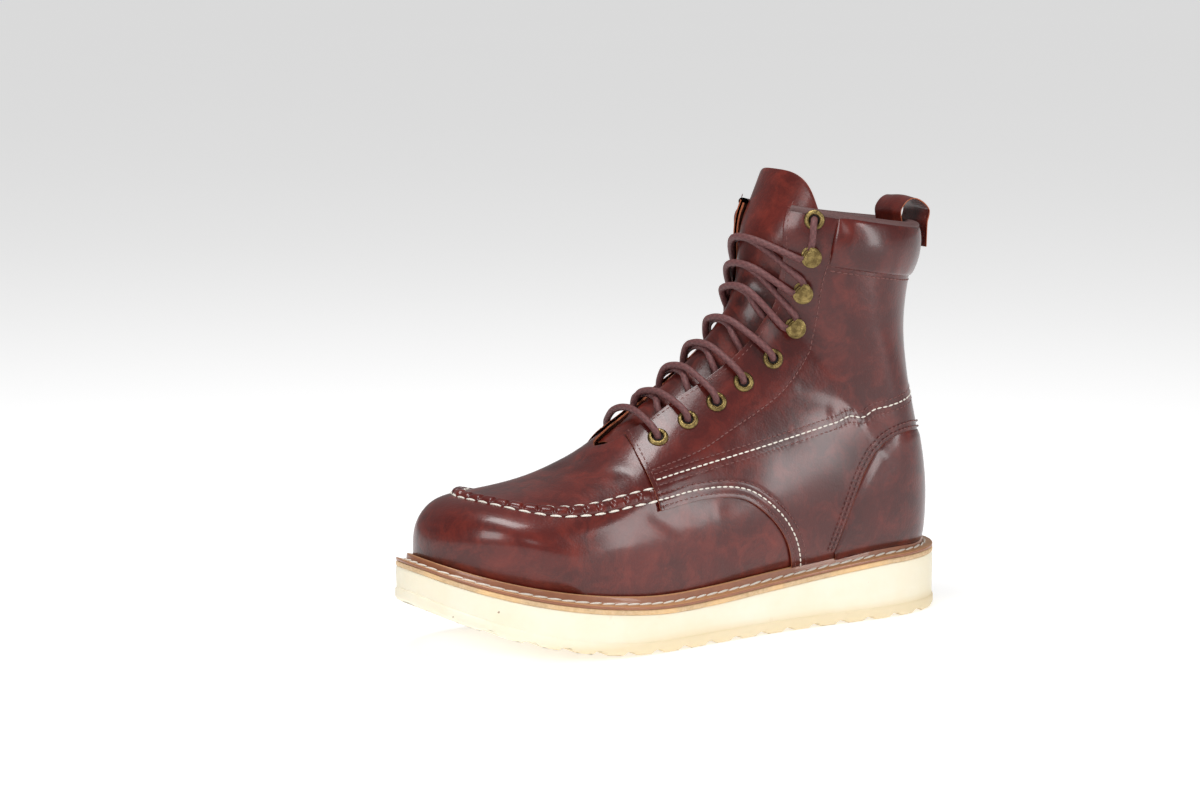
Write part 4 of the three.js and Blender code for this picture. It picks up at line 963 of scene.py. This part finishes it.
def table_line(table, at):
    """Section and share along a table's rows, for shares from 0 to 1."""
    rows = np.array(table, float)
    run = arc_length(skin(rows[:, 0], rows[:, 1]))
    run /= run[-1]
    return smooth(run, rows[:, 0], at), smooth(run, rows[:, 1], at)


SIDES = {"lateral": 1, "medial": -1}
COLLAR_END = 0.418
QUARTER_FOLDS = [
    ([(12.2, 0.3), (13.6, 0.29), (15.2, 0.27)], 0.4, 4.5),
    ([(15.0, 0.32), (16.5, 0.29), (18.6, 0.25)], 0.35, 5.0),
    ([(22.5, 0.06), (23.2, 0.12), (23.6, 0.2)], 0.25, 5.0),
]


def quarter_panel(name, side):
    furrows = []
    for table, across in ((WHITE_SEAM, 0), (WHITE_SEAM, 3.2), (WHITE_SEAM, -3.2), (EYESTAY_SEAM, 0),
                          (QUARTER_FRONT, -2.4), (QUARTER_FRONT, -5.0)):
        furrows.append((edge_row(table, side, across)[0], 0.2, 0.9))
    for across in (2.2, 5.4, 8.6):
        furrows.append((edge_row(QUARTER_LOW, side, across)[0], 0.2, 0.9))
    for rows, depth, reach in QUARTER_FOLDS:
        furrows.append((seam_line(rows, side, 0)[0], depth, reach))

    def spot(f, g):
        v, w = f, (g if side > 0 else 1 - g)
        turn_at = 0.26
        low_u, low_t = table_line(QUARTER_LOW, np.minimum(v / turn_at, 1))
        up = np.clip((v - turn_at) / (1 - turn_at), 0, 1)
        top_low = row_below_collar(np.zeros(len(v)), 0)
        low_u = np.where(v > turn_at, QUARTER_LOW_ROW + (top_low - QUARTER_LOW_ROW) * up, low_u)
        low_t = np.where(v > turn_at, 0, low_t)
        throat_t = np.full(len(v), COLLAR_END if side > 0 else 1 - COLLAR_END)
        top_high = row_below_collar(throat_t, 0)
        high_u = 9.3 + (top_high - 9.3) * v
        high_t = 0.5 - throat_half(QUARTER_THROAT, high_u)
        front_u, front_t = table_line(QUARTER_FRONT, w)
        top_t = w * COLLAR_END
        top_u = row_below_collar(top_t if side > 0 else 1 - top_t, 0)

        def coons(low, high, front, top, corner_low, corner_high, corner_top, corner_end):
            return ((1 - w) * low + w * high + (1 - v) * front + v * top
                    - ((1 - w) * (1 - v) * corner_low + w * (1 - v) * corner_high
                       + (1 - w) * v * corner_top + w * v * corner_end))
        u = coons(low_u, high_u, front_u, top_u, 9.29, 9.3, top_low, top_high)
        t = coons(low_t, high_t, front_t, top_t, 0.2091, 0.449, 0, COLLAR_END)
        t = np.clip(t, 0, 0.5)
        t_side = t if side > 0 else 1 - t
        points = off_skin(u, t_side, np.full(len(u), OVERLAY))
        normal = skin_normal(u, t_side)
        waves = 0.12 * np.sin(points[:, 2] * 0.11 + points[:, 1] * 0.05) * np.sin(points[:, 1] * 0.09 + 1)
        return points + normal * (waves - relief(points, furrows))[:, None]
    panel = sheet(name, 200, 150, spot)
    thicken(panel, OVERLAY - 0.1, edge=0.3, even=False)
    smooth_faces(panel, 50)
    return panel


quarter_leather = pull_up_leather("oxblood_quarter_leather", OXBLOOD_DEEP, (0.08, 0.007, 0.005),
                                  (0.135, 0.014, 0.008), 0.75)
for name, side in SIDES.items():
    finish(quarter_panel(f"quarter_{name}", side), "upper_leather", [], quarter_leather, raw_edge)

# Heel counter: one pocket of the same leather round the back of the heel, over
# both quarters, with two rows of dark thread along its edge.
dark_thread, place, shader = material("dark_waxed_thread")
twist = place.noise(1500, 2)
feed(shader, Base_Color=twist.blend((0.1, 0.026, 0.022), (0.2, 0.07, 0.06)), Roughness=0.55)
PALE_STITCH, DARK_STITCH = (2.9, 0.85, 0.75), (2.2, 0.6, 0.5)


def counter_side(side):
    def spot(f, g):
        w = g if side > 0 else 1 - g
        seam_u, seam_t = table_line(COUNTER_SEAM + [(21.8, 0.0)], f)
        base_u = 13.54 + 8.26 * f
        t = w * seam_t
        t = t if side > 0 else 1 - t
        offset = OVERLAY + COUNTER * np.minimum(1, 0.3 + 9 * (1 - w))
        return off_skin(base_u + (seam_u - base_u) * w, t, offset)
    return sheet("counter_side", 90, 40, spot)


counter = joined([counter_side(1), counter_side(-1)], "heel_counter")
weld(counter, 0.05)
thicken(counter, COUNTER, edge=0.25)
smooth_faces(counter, 50)
finish(counter, "upper_leather", [], quarter_leather, raw_edge)

# Moc seam: the vamp's edge is drawn up round the plug in a rolled pleat, which
# the coarse white hand stitch pinches in at every pitch.
RIDGE_HALF, RIDGE_RISE, PUCKER = 3.1, 2.7, 7.6
half_ridge = [(9.34, 0.2495), (8.51, 0.2554), (7.39, 0.2558), (6.42, 0.2753), (5.51, 0.3347), (4.86, 0.43)]
ridge_rows = half_ridge + [(4.68, 0.5)] + [(u, 1 - t) for u, t in reversed(half_ridge)]
ridge_line, ridge_normal = seam_line(ridge_rows, 1, 0, 900)
ridge_run = arc_length(ridge_line)


def along_line(run, values, at):
    return np.column_stack([np.interp(at, run, values[:, c]) for c in range(3)])


def ridge_spot(f, g):
    at = f * ridge_run[-1]
    count = round(ridge_run[-1] / PUCKER)
    pinch = np.exp(-(((f * count) % 1 - 0.5) / 0.13) ** 2)
    ends = np.minimum(1, 0.55 + np.minimum(at, ridge_run[-1] - at) / 22)
    across = -RIDGE_HALF * (1 - 0.1 * pinch) * np.cos(g * math.pi)
    rise = RIDGE_RISE * ends * (1 - 0.48 * pinch) * np.sin(g * math.pi) ** 0.75 - 0.35
    centre, normal = along_line(ridge_run, ridge_line, at), along_line(ridge_run, ridge_normal, at)
    ahead = along_line(ridge_run, np.gradient(ridge_line, axis=0), at)
    ahead /= np.linalg.norm(ahead, axis=1)[:, None]
    aside = np.cross(normal, ahead)
    return centre + aside * across[:, None] + normal * rise[:, None]


ridge = sheet("moc_ridge", 700, 12, ridge_spot)
smooth_faces(ridge, 60)
finish(ridge, "upper_leather", [], vamp_leather)
for name, across in (("outer", 3.5), ("inner", -3.4)):
    stitches(f"moc_stitch_{name}", beside(ridge_line, ridge_normal, across), ridge_normal, PUCKER,
             (6.4, 1.25, 1.1), white_thread, lift=0.25, slot="lace_cord", sag=-0.3)

# Padded collar: foam under a strip of the quarter's leather, from one top
# eyelet round the back to the other, and a bound edge of dark lining leather.


def collar_line(drop, reach, offset, count=240):
    t = np.linspace(-reach, reach, count)
    u = row_below_collar(t, drop)
    return off_skin(u, t, np.full(count, float(offset))), skin_normal(u, t)


CUFF_DEPTH, CUFF_PUFF = 26.5, 3.4


def cuff_spot(f, g):
    t = (g * 2 - 1) * CUFF_REACH
    drop = CUFF_DEPTH - (CUFF_DEPTH - 0.2) * f
    ends = np.clip((CUFF_REACH - np.abs(t)) / 0.03, 0, 1) ** 0.5
    puff = np.sin(np.clip(f, 0, 1) * math.pi) ** 0.55 * ends
    gather = 0.25 * np.sin(t * 150) * np.exp(-f * 6)
    return off_skin(row_below_collar(t, drop), t, OVERLAY + 0.25 + (CUFF_PUFF + gather) * puff)


cuff = sheet("collar_cuff_cover", 40, 220, cuff_spot)
thicken(cuff, 1.5, edge=0.3)
smooth_faces(cuff, 50)
finish(cuff, "upper_leather", ["collar_cuff"], quarter_leather, raw_edge)

binding_leather, place, shader = material("binding_leather")
nap = place.noise(900, 3, 0.7)
feed(shader, Base_Color=nap.blend((0.06, 0.026, 0.026), (0.13, 0.06, 0.055)), Roughness=0.62,
     Normal=nap.bump(0.3, 0.0004))
BINDING_ROWS = [(OVERLAY + 0.5, 1.8), (OVERLAY + 0.9, 0.4), (OVERLAY + 0.2, -1.1), (-0.4, -1.6),
                (-2.2, -1.2),
                (-3.4, 0.4), (-3.6, 3), (-3.0, 9), (-2.6, 10.5)]


def binding_spot(f, g):
    row = f * (len(BINDING_ROWS) - 1)
    table = np.array(BINDING_ROWS)
    t = (g * 2 - 1) * 0.41
    offset, drop = (smooth(np.arange(len(table)), column, row) for column in table.T)
    return off_skin(row_below_collar(t, drop), t, offset)


binding = sheet("collar_binding", 24, 260, binding_spot)
smooth_faces(binding, 60)
finish(binding, "lining_leather", [], binding_leather)

# Tongue: thick leather under the laces, stitched in at the throat's foot, with
# a rough cut edge that stands well over the collar.
TONGUE_ROWS, TONGUE_HALF, TONGUE_TAPER, TONGUE_CORNER = (8.6, 27.9), 39 / 270, 0.62, 1.2
TONGUE = 2.6


def tongue_spot(f, g):
    v = 0.02 + 0.98 * f
    half = TONGUE_HALF * (TONGUE_TAPER + (1 - TONGUE_TAPER) * v)
    side = g * 2 - 1
    u = TONGUE_ROWS[0] + (TONGUE_ROWS[1] - TONGUE_ROWS[0]) * v - side ** 4 * TONGUE_CORNER * v ** 4
    bow = 1.2 * np.sin(np.clip((v - 0.55) / 0.45, 0, 1) * math.pi) * (1 - side ** 2)
    ripple = 0.5 * np.sin(v * 34) * (1 - side ** 2) * (1 - v)
    return off_skin(u, 0.5 + side * half, -WALL - 0.9 + bow + ripple)


tongue = sheet("tongue_leather", 150, 48, tongue_spot)
thicken(tongue, TONGUE, edge=0.45)
smooth_faces(tongue, 50)
tongue_leather = pull_up_leather("oxblood_tongue_leather", (0.036, 0.004, 0.003), (0.1, 0.01, 0.0065),
                                 (0.17, 0.02, 0.011), 0.35)
finish(tongue, "upper_leather", ["tongue"], tongue_leather, raw_edge)

# Pull loop: a folded strap of the same leather with raw edges, sewn on behind
# the collar with dark thread.
LOOP_TOP, INNER_LEG, OUTER_LEG, LOOP_WIDTH = 202.8, 9.73, 25.13, 24
loop_middle = (INNER_LEG + OUTER_LEG) / 2
LOOP_LINE = np.array([
    (INNER_LEG - 1, LOOP_TOP - 13), (INNER_LEG, LOOP_TOP), (INNER_LEG - 0.5, LOOP_TOP + 7.8),
    (loop_middle - 1, LOOP_TOP + 13), (OUTER_LEG + 1, LOOP_TOP + 7.15), (OUTER_LEG, LOOP_TOP),
    (OUTER_LEG - 0.5, LOOP_TOP - 13),
])
loop_run = arc_length(np.column_stack([LOOP_LINE, np.zeros(len(LOOP_LINE))]))


def loop_spot(f, g):
    y, z = (smooth(loop_run, column, f * loop_run[-1]) for column in LOOP_LINE.T)
    x = (g * 2 - 1) * LOOP_WIDTH / 2
    return np.column_stack([x, y, z + 0.4 * np.cos(x * 0.25) * np.sin(f * math.pi)])


loop = sheet("pull_loop_strap", 90, 24, loop_spot)
thicken(loop, 2.4, edge=0.5)
smooth_faces(loop, 50)
finish(loop, "upper_leather", ["pull_loop"], tongue_leather, raw_edge)
for name, x in (("lateral", 9.6), ("medial", -9.6)):
    z = np.linspace(LOOP_TOP - 12, LOOP_TOP + 4, 40)
    line = np.column_stack([np.full(40, x), np.full(40, OUTER_LEG + 0.5), z])
    stitches(f"loop_stitch_{name}", line, np.tile([0.0, 1.0, 0.0], (40, 1)), 3, DARK_STITCH, dark_thread,
             slot="lace_cord")

# Seams of the upper: white thread with a dark row on each side of it on the
# quarter, and dark rows along the eyelets, throat, counter and collar.
for side_name, side in SIDES.items():
    def seam(name, table, across, size, thread, pitch=3.4, offset=OVERLAY):
        line, normals = edge_row(table, side, across, offset)
        stitches(f"{name}_{side_name}", line, normals, pitch, size, thread, lift=-0.05, slot="lace_cord")
    seam("quarter_white", WHITE_SEAM, 0, PALE_STITCH, white_thread)
    seam("quarter_dark_upper", WHITE_SEAM, -3.2, DARK_STITCH, dark_thread, 3)
    seam("quarter_dark_under", WHITE_SEAM, 3.2, DARK_STITCH, dark_thread, 3)
    seam("eyestay", EYESTAY_SEAM, 0, (2.4, 0.7, 0.6), dark_thread, 3)
    seam("front_edge", QUARTER_FRONT, -2.4, DARK_STITCH, dark_thread, 3)
    seam("low_edge_dark", QUARTER_LOW, 2.2, DARK_STITCH, dark_thread, 3)
    seam("low_edge_white", QUARTER_LOW, 5.4, PALE_STITCH, white_thread)
    seam("low_edge_inner", QUARTER_LOW, 8.6, DARK_STITCH, dark_thread, 3)
    for row, across in (("outer", 2.0), ("inner", 4.8)):
        seam(f"counter_{row}", COUNTER_SEAM, across, DARK_STITCH, dark_thread, 2.8, OVERLAY + COUNTER)
    throat = [(u, 0.5 - float(throat_half(QUARTER_THROAT, u)) - 0.008) for u in np.linspace(9.8, 27, 16)]
    seam("throat_edge", throat, 0, DARK_STITCH, dark_thread, 3)
for name, drop in (("upper", 26.2), ("under", 28.6)):
    stitches(f"collar_seam_{name}", *collar_line(drop, CUFF_REACH, OVERLAY), 3.3, (3.0, 0.9, 0.8),
             dark_thread, slot="lace_cord")

# Eyelets and hooks: stamped antique brass, the eyelets rolled into the
# quarters, the hooks riveted beside the throat, each hook's cap a plain D.
EYELETS = [(9.85, 0.127), (10.7, 0.131), (11.6, 0.131), (12.7, 0.126), (14.4, 0.122)]
HOOKS = [(18.1, 0.106), (21.7, 0.121), (24.3, 0.141)]
TOP_EYELET = (26.35, 0.137)
brass, place, shader = material("antique_brass")
stipple = place.noise(1900, 2, 0.6)
patina = place.noise(330, 3, 0.6).ramp((0.38, 0.0), (0.62, 1.0))
feed(shader, Base_Color=patina.blend((0.13, 0.09, 0.035), (0.3, 0.22, 0.085)), Roughness=0.36,
     Normal=stipple.bump(0.55, 0.0004))
shader.inputs["Metallic"].default_value = 1
# Painted shade: a near-black material for a disc over each eyelet's opening, standing in for the shade
# inside the hole.
painted_hole_shade, place, shader = material("eyelet_painted_hole_shade")
feed(shader, Base_Color=place.noise(500).blend((0.006, 0.003, 0.003), (0.014, 0.006, 0.006)), Roughness=0.9)


def fixing_frame(row, side, offset):
    """Where a fixing sits: its middle, towards the throat, up, outward."""
    t = 0.5 - side * row[1]
    normal = skin_normal(row[0], t)
    inward = skin(row[0], t + side * 0.01) - skin(row[0], t - side * 0.01)
    inward -= normal * inward.dot(normal)
    inward /= np.linalg.norm(inward)
    return skin(row[0], t) + normal * offset, inward, -side * np.cross(normal, inward), normal


def turned_rows(name, frame_at, profile, columns, shape=None):
    """A lathe-like piece: a profile of radius and height round a frame."""
    middle, inward, up, normal = frame_at
    table = np.array(profile, float)

    def spot(f, g):
        row = np.rint(f * (len(table) - 1)).astype(int)
        radius, height = table[row].T
        angle = np.rint(g * columns) % columns / columns * math.tau
        x, y = radius * np.cos(angle), radius * np.sin(angle)
        if shape:
            x, y = shape(x, y)
        return middle + x[:, None] * inward + y[:, None] * up + height[:, None] * normal
    piece = sheet(name, len(table) - 1, columns, spot)
    weld(piece, 0.001, outward=True)
    smooth_faces(piece, 40)
    return piece


RING_PROFILE = [(2.6, -0.2), (2.65, 0.5), (2.9, 0.95), (3.5, 1.25), (4.3, 1.2), (5.0, 0.75),
                (5.3, 0.1), (5.3, -0.3)]
CAP_PROFILE = [(0, 5.2), (4.6, 5.2), (5.1, 5.35), (5.3, 5.7), (5.1, 6.1), (4.6, 6.3), (4.2, 6.3), (3.9, 6.1),
               (3.6, 6.1), (3.3, 6.35), (2.4, 6.45), (1.2, 6.5), (0, 6.5)]
STEM_PROFILE = [(0, 0.3), (1.5, 0.3), (1.3, 0.8), (1.2, 5.4), (0, 5.5)]
BASE_PROFILE = [(0, 0.75), (4.0, 0.75), (4.3, 0.55), (4.4, 0.0)]
for side_name, side in SIDES.items():
    for k, row in enumerate([*EYELETS, TOP_EYELET]):
        at = fixing_frame(row, side, OVERLAY)
        eyelet = turned_rows(f"eyelet_{side_name}_ring_{k + 1}", at, RING_PROFILE, 40)
        finish(eyelet, "antique_brass", [f"eyelet_{side_name}_{k + 1}"], brass)
        # a flat disc of painted shade inside the ring, in place of a real hole
        painted_shade_disc = turned_rows(f"eyelet_{side_name}_well_{k + 1}", at, [(0, 0.12), (2.8, 0.12), (2.8, -0.1)], 24)
        finish(painted_shade_disc, "antique_brass", [], painted_hole_shade)
    for k, row in enumerate(HOOKS):
        at = fixing_frame(row, side, OVERLAY)
        pieces = [
            turned_rows("hook_cap", at, CAP_PROFILE, 48, lambda x, y: (np.minimum(x, 3.2), y)),
            turned_rows("hook_stem", at, STEM_PROFILE, 16, lambda x, y: (x * 0.45 + 3.5, y * 1.6)),
            turned_rows("hook_base", at, BASE_PROFILE, 32, lambda x, y: (x * 1.05 + 0.6, y)),
        ]
        hook = joined(pieces, f"hook_{side_name}_cap_{k + 1}")
        finish(hook, "antique_brass", [f"hook_{side_name}_{k + 1}"], brass)

# Lace: one round waxed cord of about 1.5 m. It lies as a bar over the lowest
# eyelets, crosses up both sides and ends inside at the top eyelets.
LACE_RADIUS = 1.8


def crossing(row, next_row, side, lift, from_hook, to_hook):
    """One strand: out under the throat edge and over to the other side."""
    (u, share), (next_u, next_share) = row, next_row
    rise = next_u - u
    points = []
    if not from_hook:
        points += [off_skin(u + 0.22 * rise, 0.5 - side * (share - 0.022), -3.4),
                   off_skin(u + 0.4 * rise, 0.5 - side * (share - 0.046), -2.6),
                   off_skin(u + 0.46 * rise, 0.5 - side * (share - 0.072), 0.4)]
    middle_u = u + (0.66 if not from_hook else 0.5) * rise
    points.append(off_skin(middle_u - 0.06 * rise, 0.5 - side * 0.028, lift - 0.4))
    points.append(off_skin(middle_u + 0.06 * rise, 0.5 + side * 0.028, lift - 0.4))
    if not to_hook:
        points += [off_skin(next_u - 0.14 * rise, 0.5 + side * (next_share - 0.05), 4.0),
                   off_skin(next_u - 0.03 * rise, 0.5 + side * (next_share - 0.016), 5.3),
                   off_skin(next_u, 0.5 + side * (next_share - 0.003), 3.6),
                   off_skin(next_u, 0.5 + side * next_share, 0.6),
                   off_skin(next_u + 0.05, 0.5 + side * next_share, -2.6)]
    return points


def round_hook(row, side, first, last):
    middle, inward, up, normal = fixing_frame(row, side, OVERLAY + 2.75)
    path = [(6.2, -4.3), (4.2, -4.2), (2.2, -3.2), (1.2, 0.0), (2.2, 3.2), (4.2, 4.2), (6.2, 4.3)]
    return [middle + inward * x + up * y for x, y in path[first:last]]


def strand(start):
    side, points = start, []
    rows = [*EYELETS, *HOOKS]
    for k in range(len(rows) - 1):
        lift = -0.7 if (k + (start > 0)) % 2 else 2.5
        from_hook, to_hook = k >= len(EYELETS), k + 1 >= len(EYELETS)
        points += crossing(rows[k], rows[k + 1], side, lift, from_hook, to_hook)
        side = -side
        if to_hook:
            points += round_hook(rows[k + 1], side, 0, 7 if k + 1 < len(rows) - 1 else 5)
    u, share = TOP_EYELET
    points += [off_skin(25.3, 0.5 - side * (share + 0.004), OVERLAY + 2.9),
               off_skin(26.0, 0.5 - side * (share + 0.001), OVERLAY + 3.3),
               off_skin(u, 0.5 - side * share, OVERLAY + 1.5), off_skin(u, 0.5 - side * share, -1.0),
               off_skin(u, 0.5 - side * share, -3.4)]
    return points


first_u, first_share = EYELETS[0]
bar = [off_skin(first_u + 0.05, 0.5 - first_share, -2.6), off_skin(first_u, 0.5 - first_share, 0.6),
       off_skin(first_u, 0.5 - first_share + 0.004, 3.7),
       off_skin(first_u - 0.02, 0.5 - first_share + 0.02, 5.0),
       off_skin(first_u - 0.05, 0.445, 4.6), off_skin(first_u - 0.05, 0.5, 3.4)]
bar += [np.array(p) for p in [
    off_skin(first_u - 0.05, 0.555, 4.6), off_skin(first_u - 0.02, 0.5 + first_share - 0.02, 5.0),
    off_skin(first_u, 0.5 + first_share - 0.004, 3.7), off_skin(first_u, 0.5 + first_share, 0.6),
    off_skin(first_u + 0.05, 0.5 + first_share, -2.6)]]
knots = np.array(strand(1)[::-1] + bar + strand(-1))
knot_run = arc_length(knots)
LACE_STEPS = 1500
lace_at = np.linspace(0, knot_run[-1], LACE_STEPS + 1)
lace_line = soften(np.column_stack([smooth(knot_run, knots[:, c], lace_at) for c in range(3)]), 1.6)
ahead = np.gradient(lace_line, axis=0)
ahead /= np.linalg.norm(ahead, axis=1)[:, None]
aside = np.empty_like(ahead)
aside[0] = np.cross(ahead[0], (0.1, 0.2, 1.0))
for k in range(1, len(aside)):
    aside[k] = aside[k - 1] - ahead[k] * aside[k - 1].dot(ahead[k])
    aside[k] /= np.linalg.norm(aside[k])


def lace_spot(f, g):
    k = np.rint(f * LACE_STEPS).astype(int)
    angle = g * math.tau
    other = np.cross(ahead[k], aside[k])
    return lace_line[k] + LACE_RADIUS * (aside[k] * np.cos(angle)[:, None] + other * np.sin(angle)[:, None])


lace = sheet("boot_lace", LACE_STEPS, 12, lace_spot)
weld(lace, 0.001, outward=True)
smooth_faces(lace, 80)
lace_cord, place, shader = material("waxed_lace_cord")
along_cord = place.node("ShaderNodeUVMap")
weave_at = place.node("ShaderNodeMapping", None, {"Vector": along_cord, "Scale": (640.0, 8.0, 1.0)})
weave = place.node("ShaderNodeTexChecker", None, {"Vector": weave_at, "Scale": 1.0}, output=1)
fuzz = place.noise(1400, 2, 0.6)
tone = fuzz.blend((0.085, 0.024, 0.025), (0.2, 0.075, 0.072))
feed(shader, Base_Color=(weave * 0.45).blend(tone, (0.06, 0.016, 0.018)), Roughness=0.62,
     Normal=fuzz.bump(0.35, 0.0003))
finish(lace, "lace_cord", ["lace_bar", "lace_upright_lateral", "lace_upright_medial",
                           *[f"lace_crossing_{k}" for k in range(1, 8)]], lace_cord)
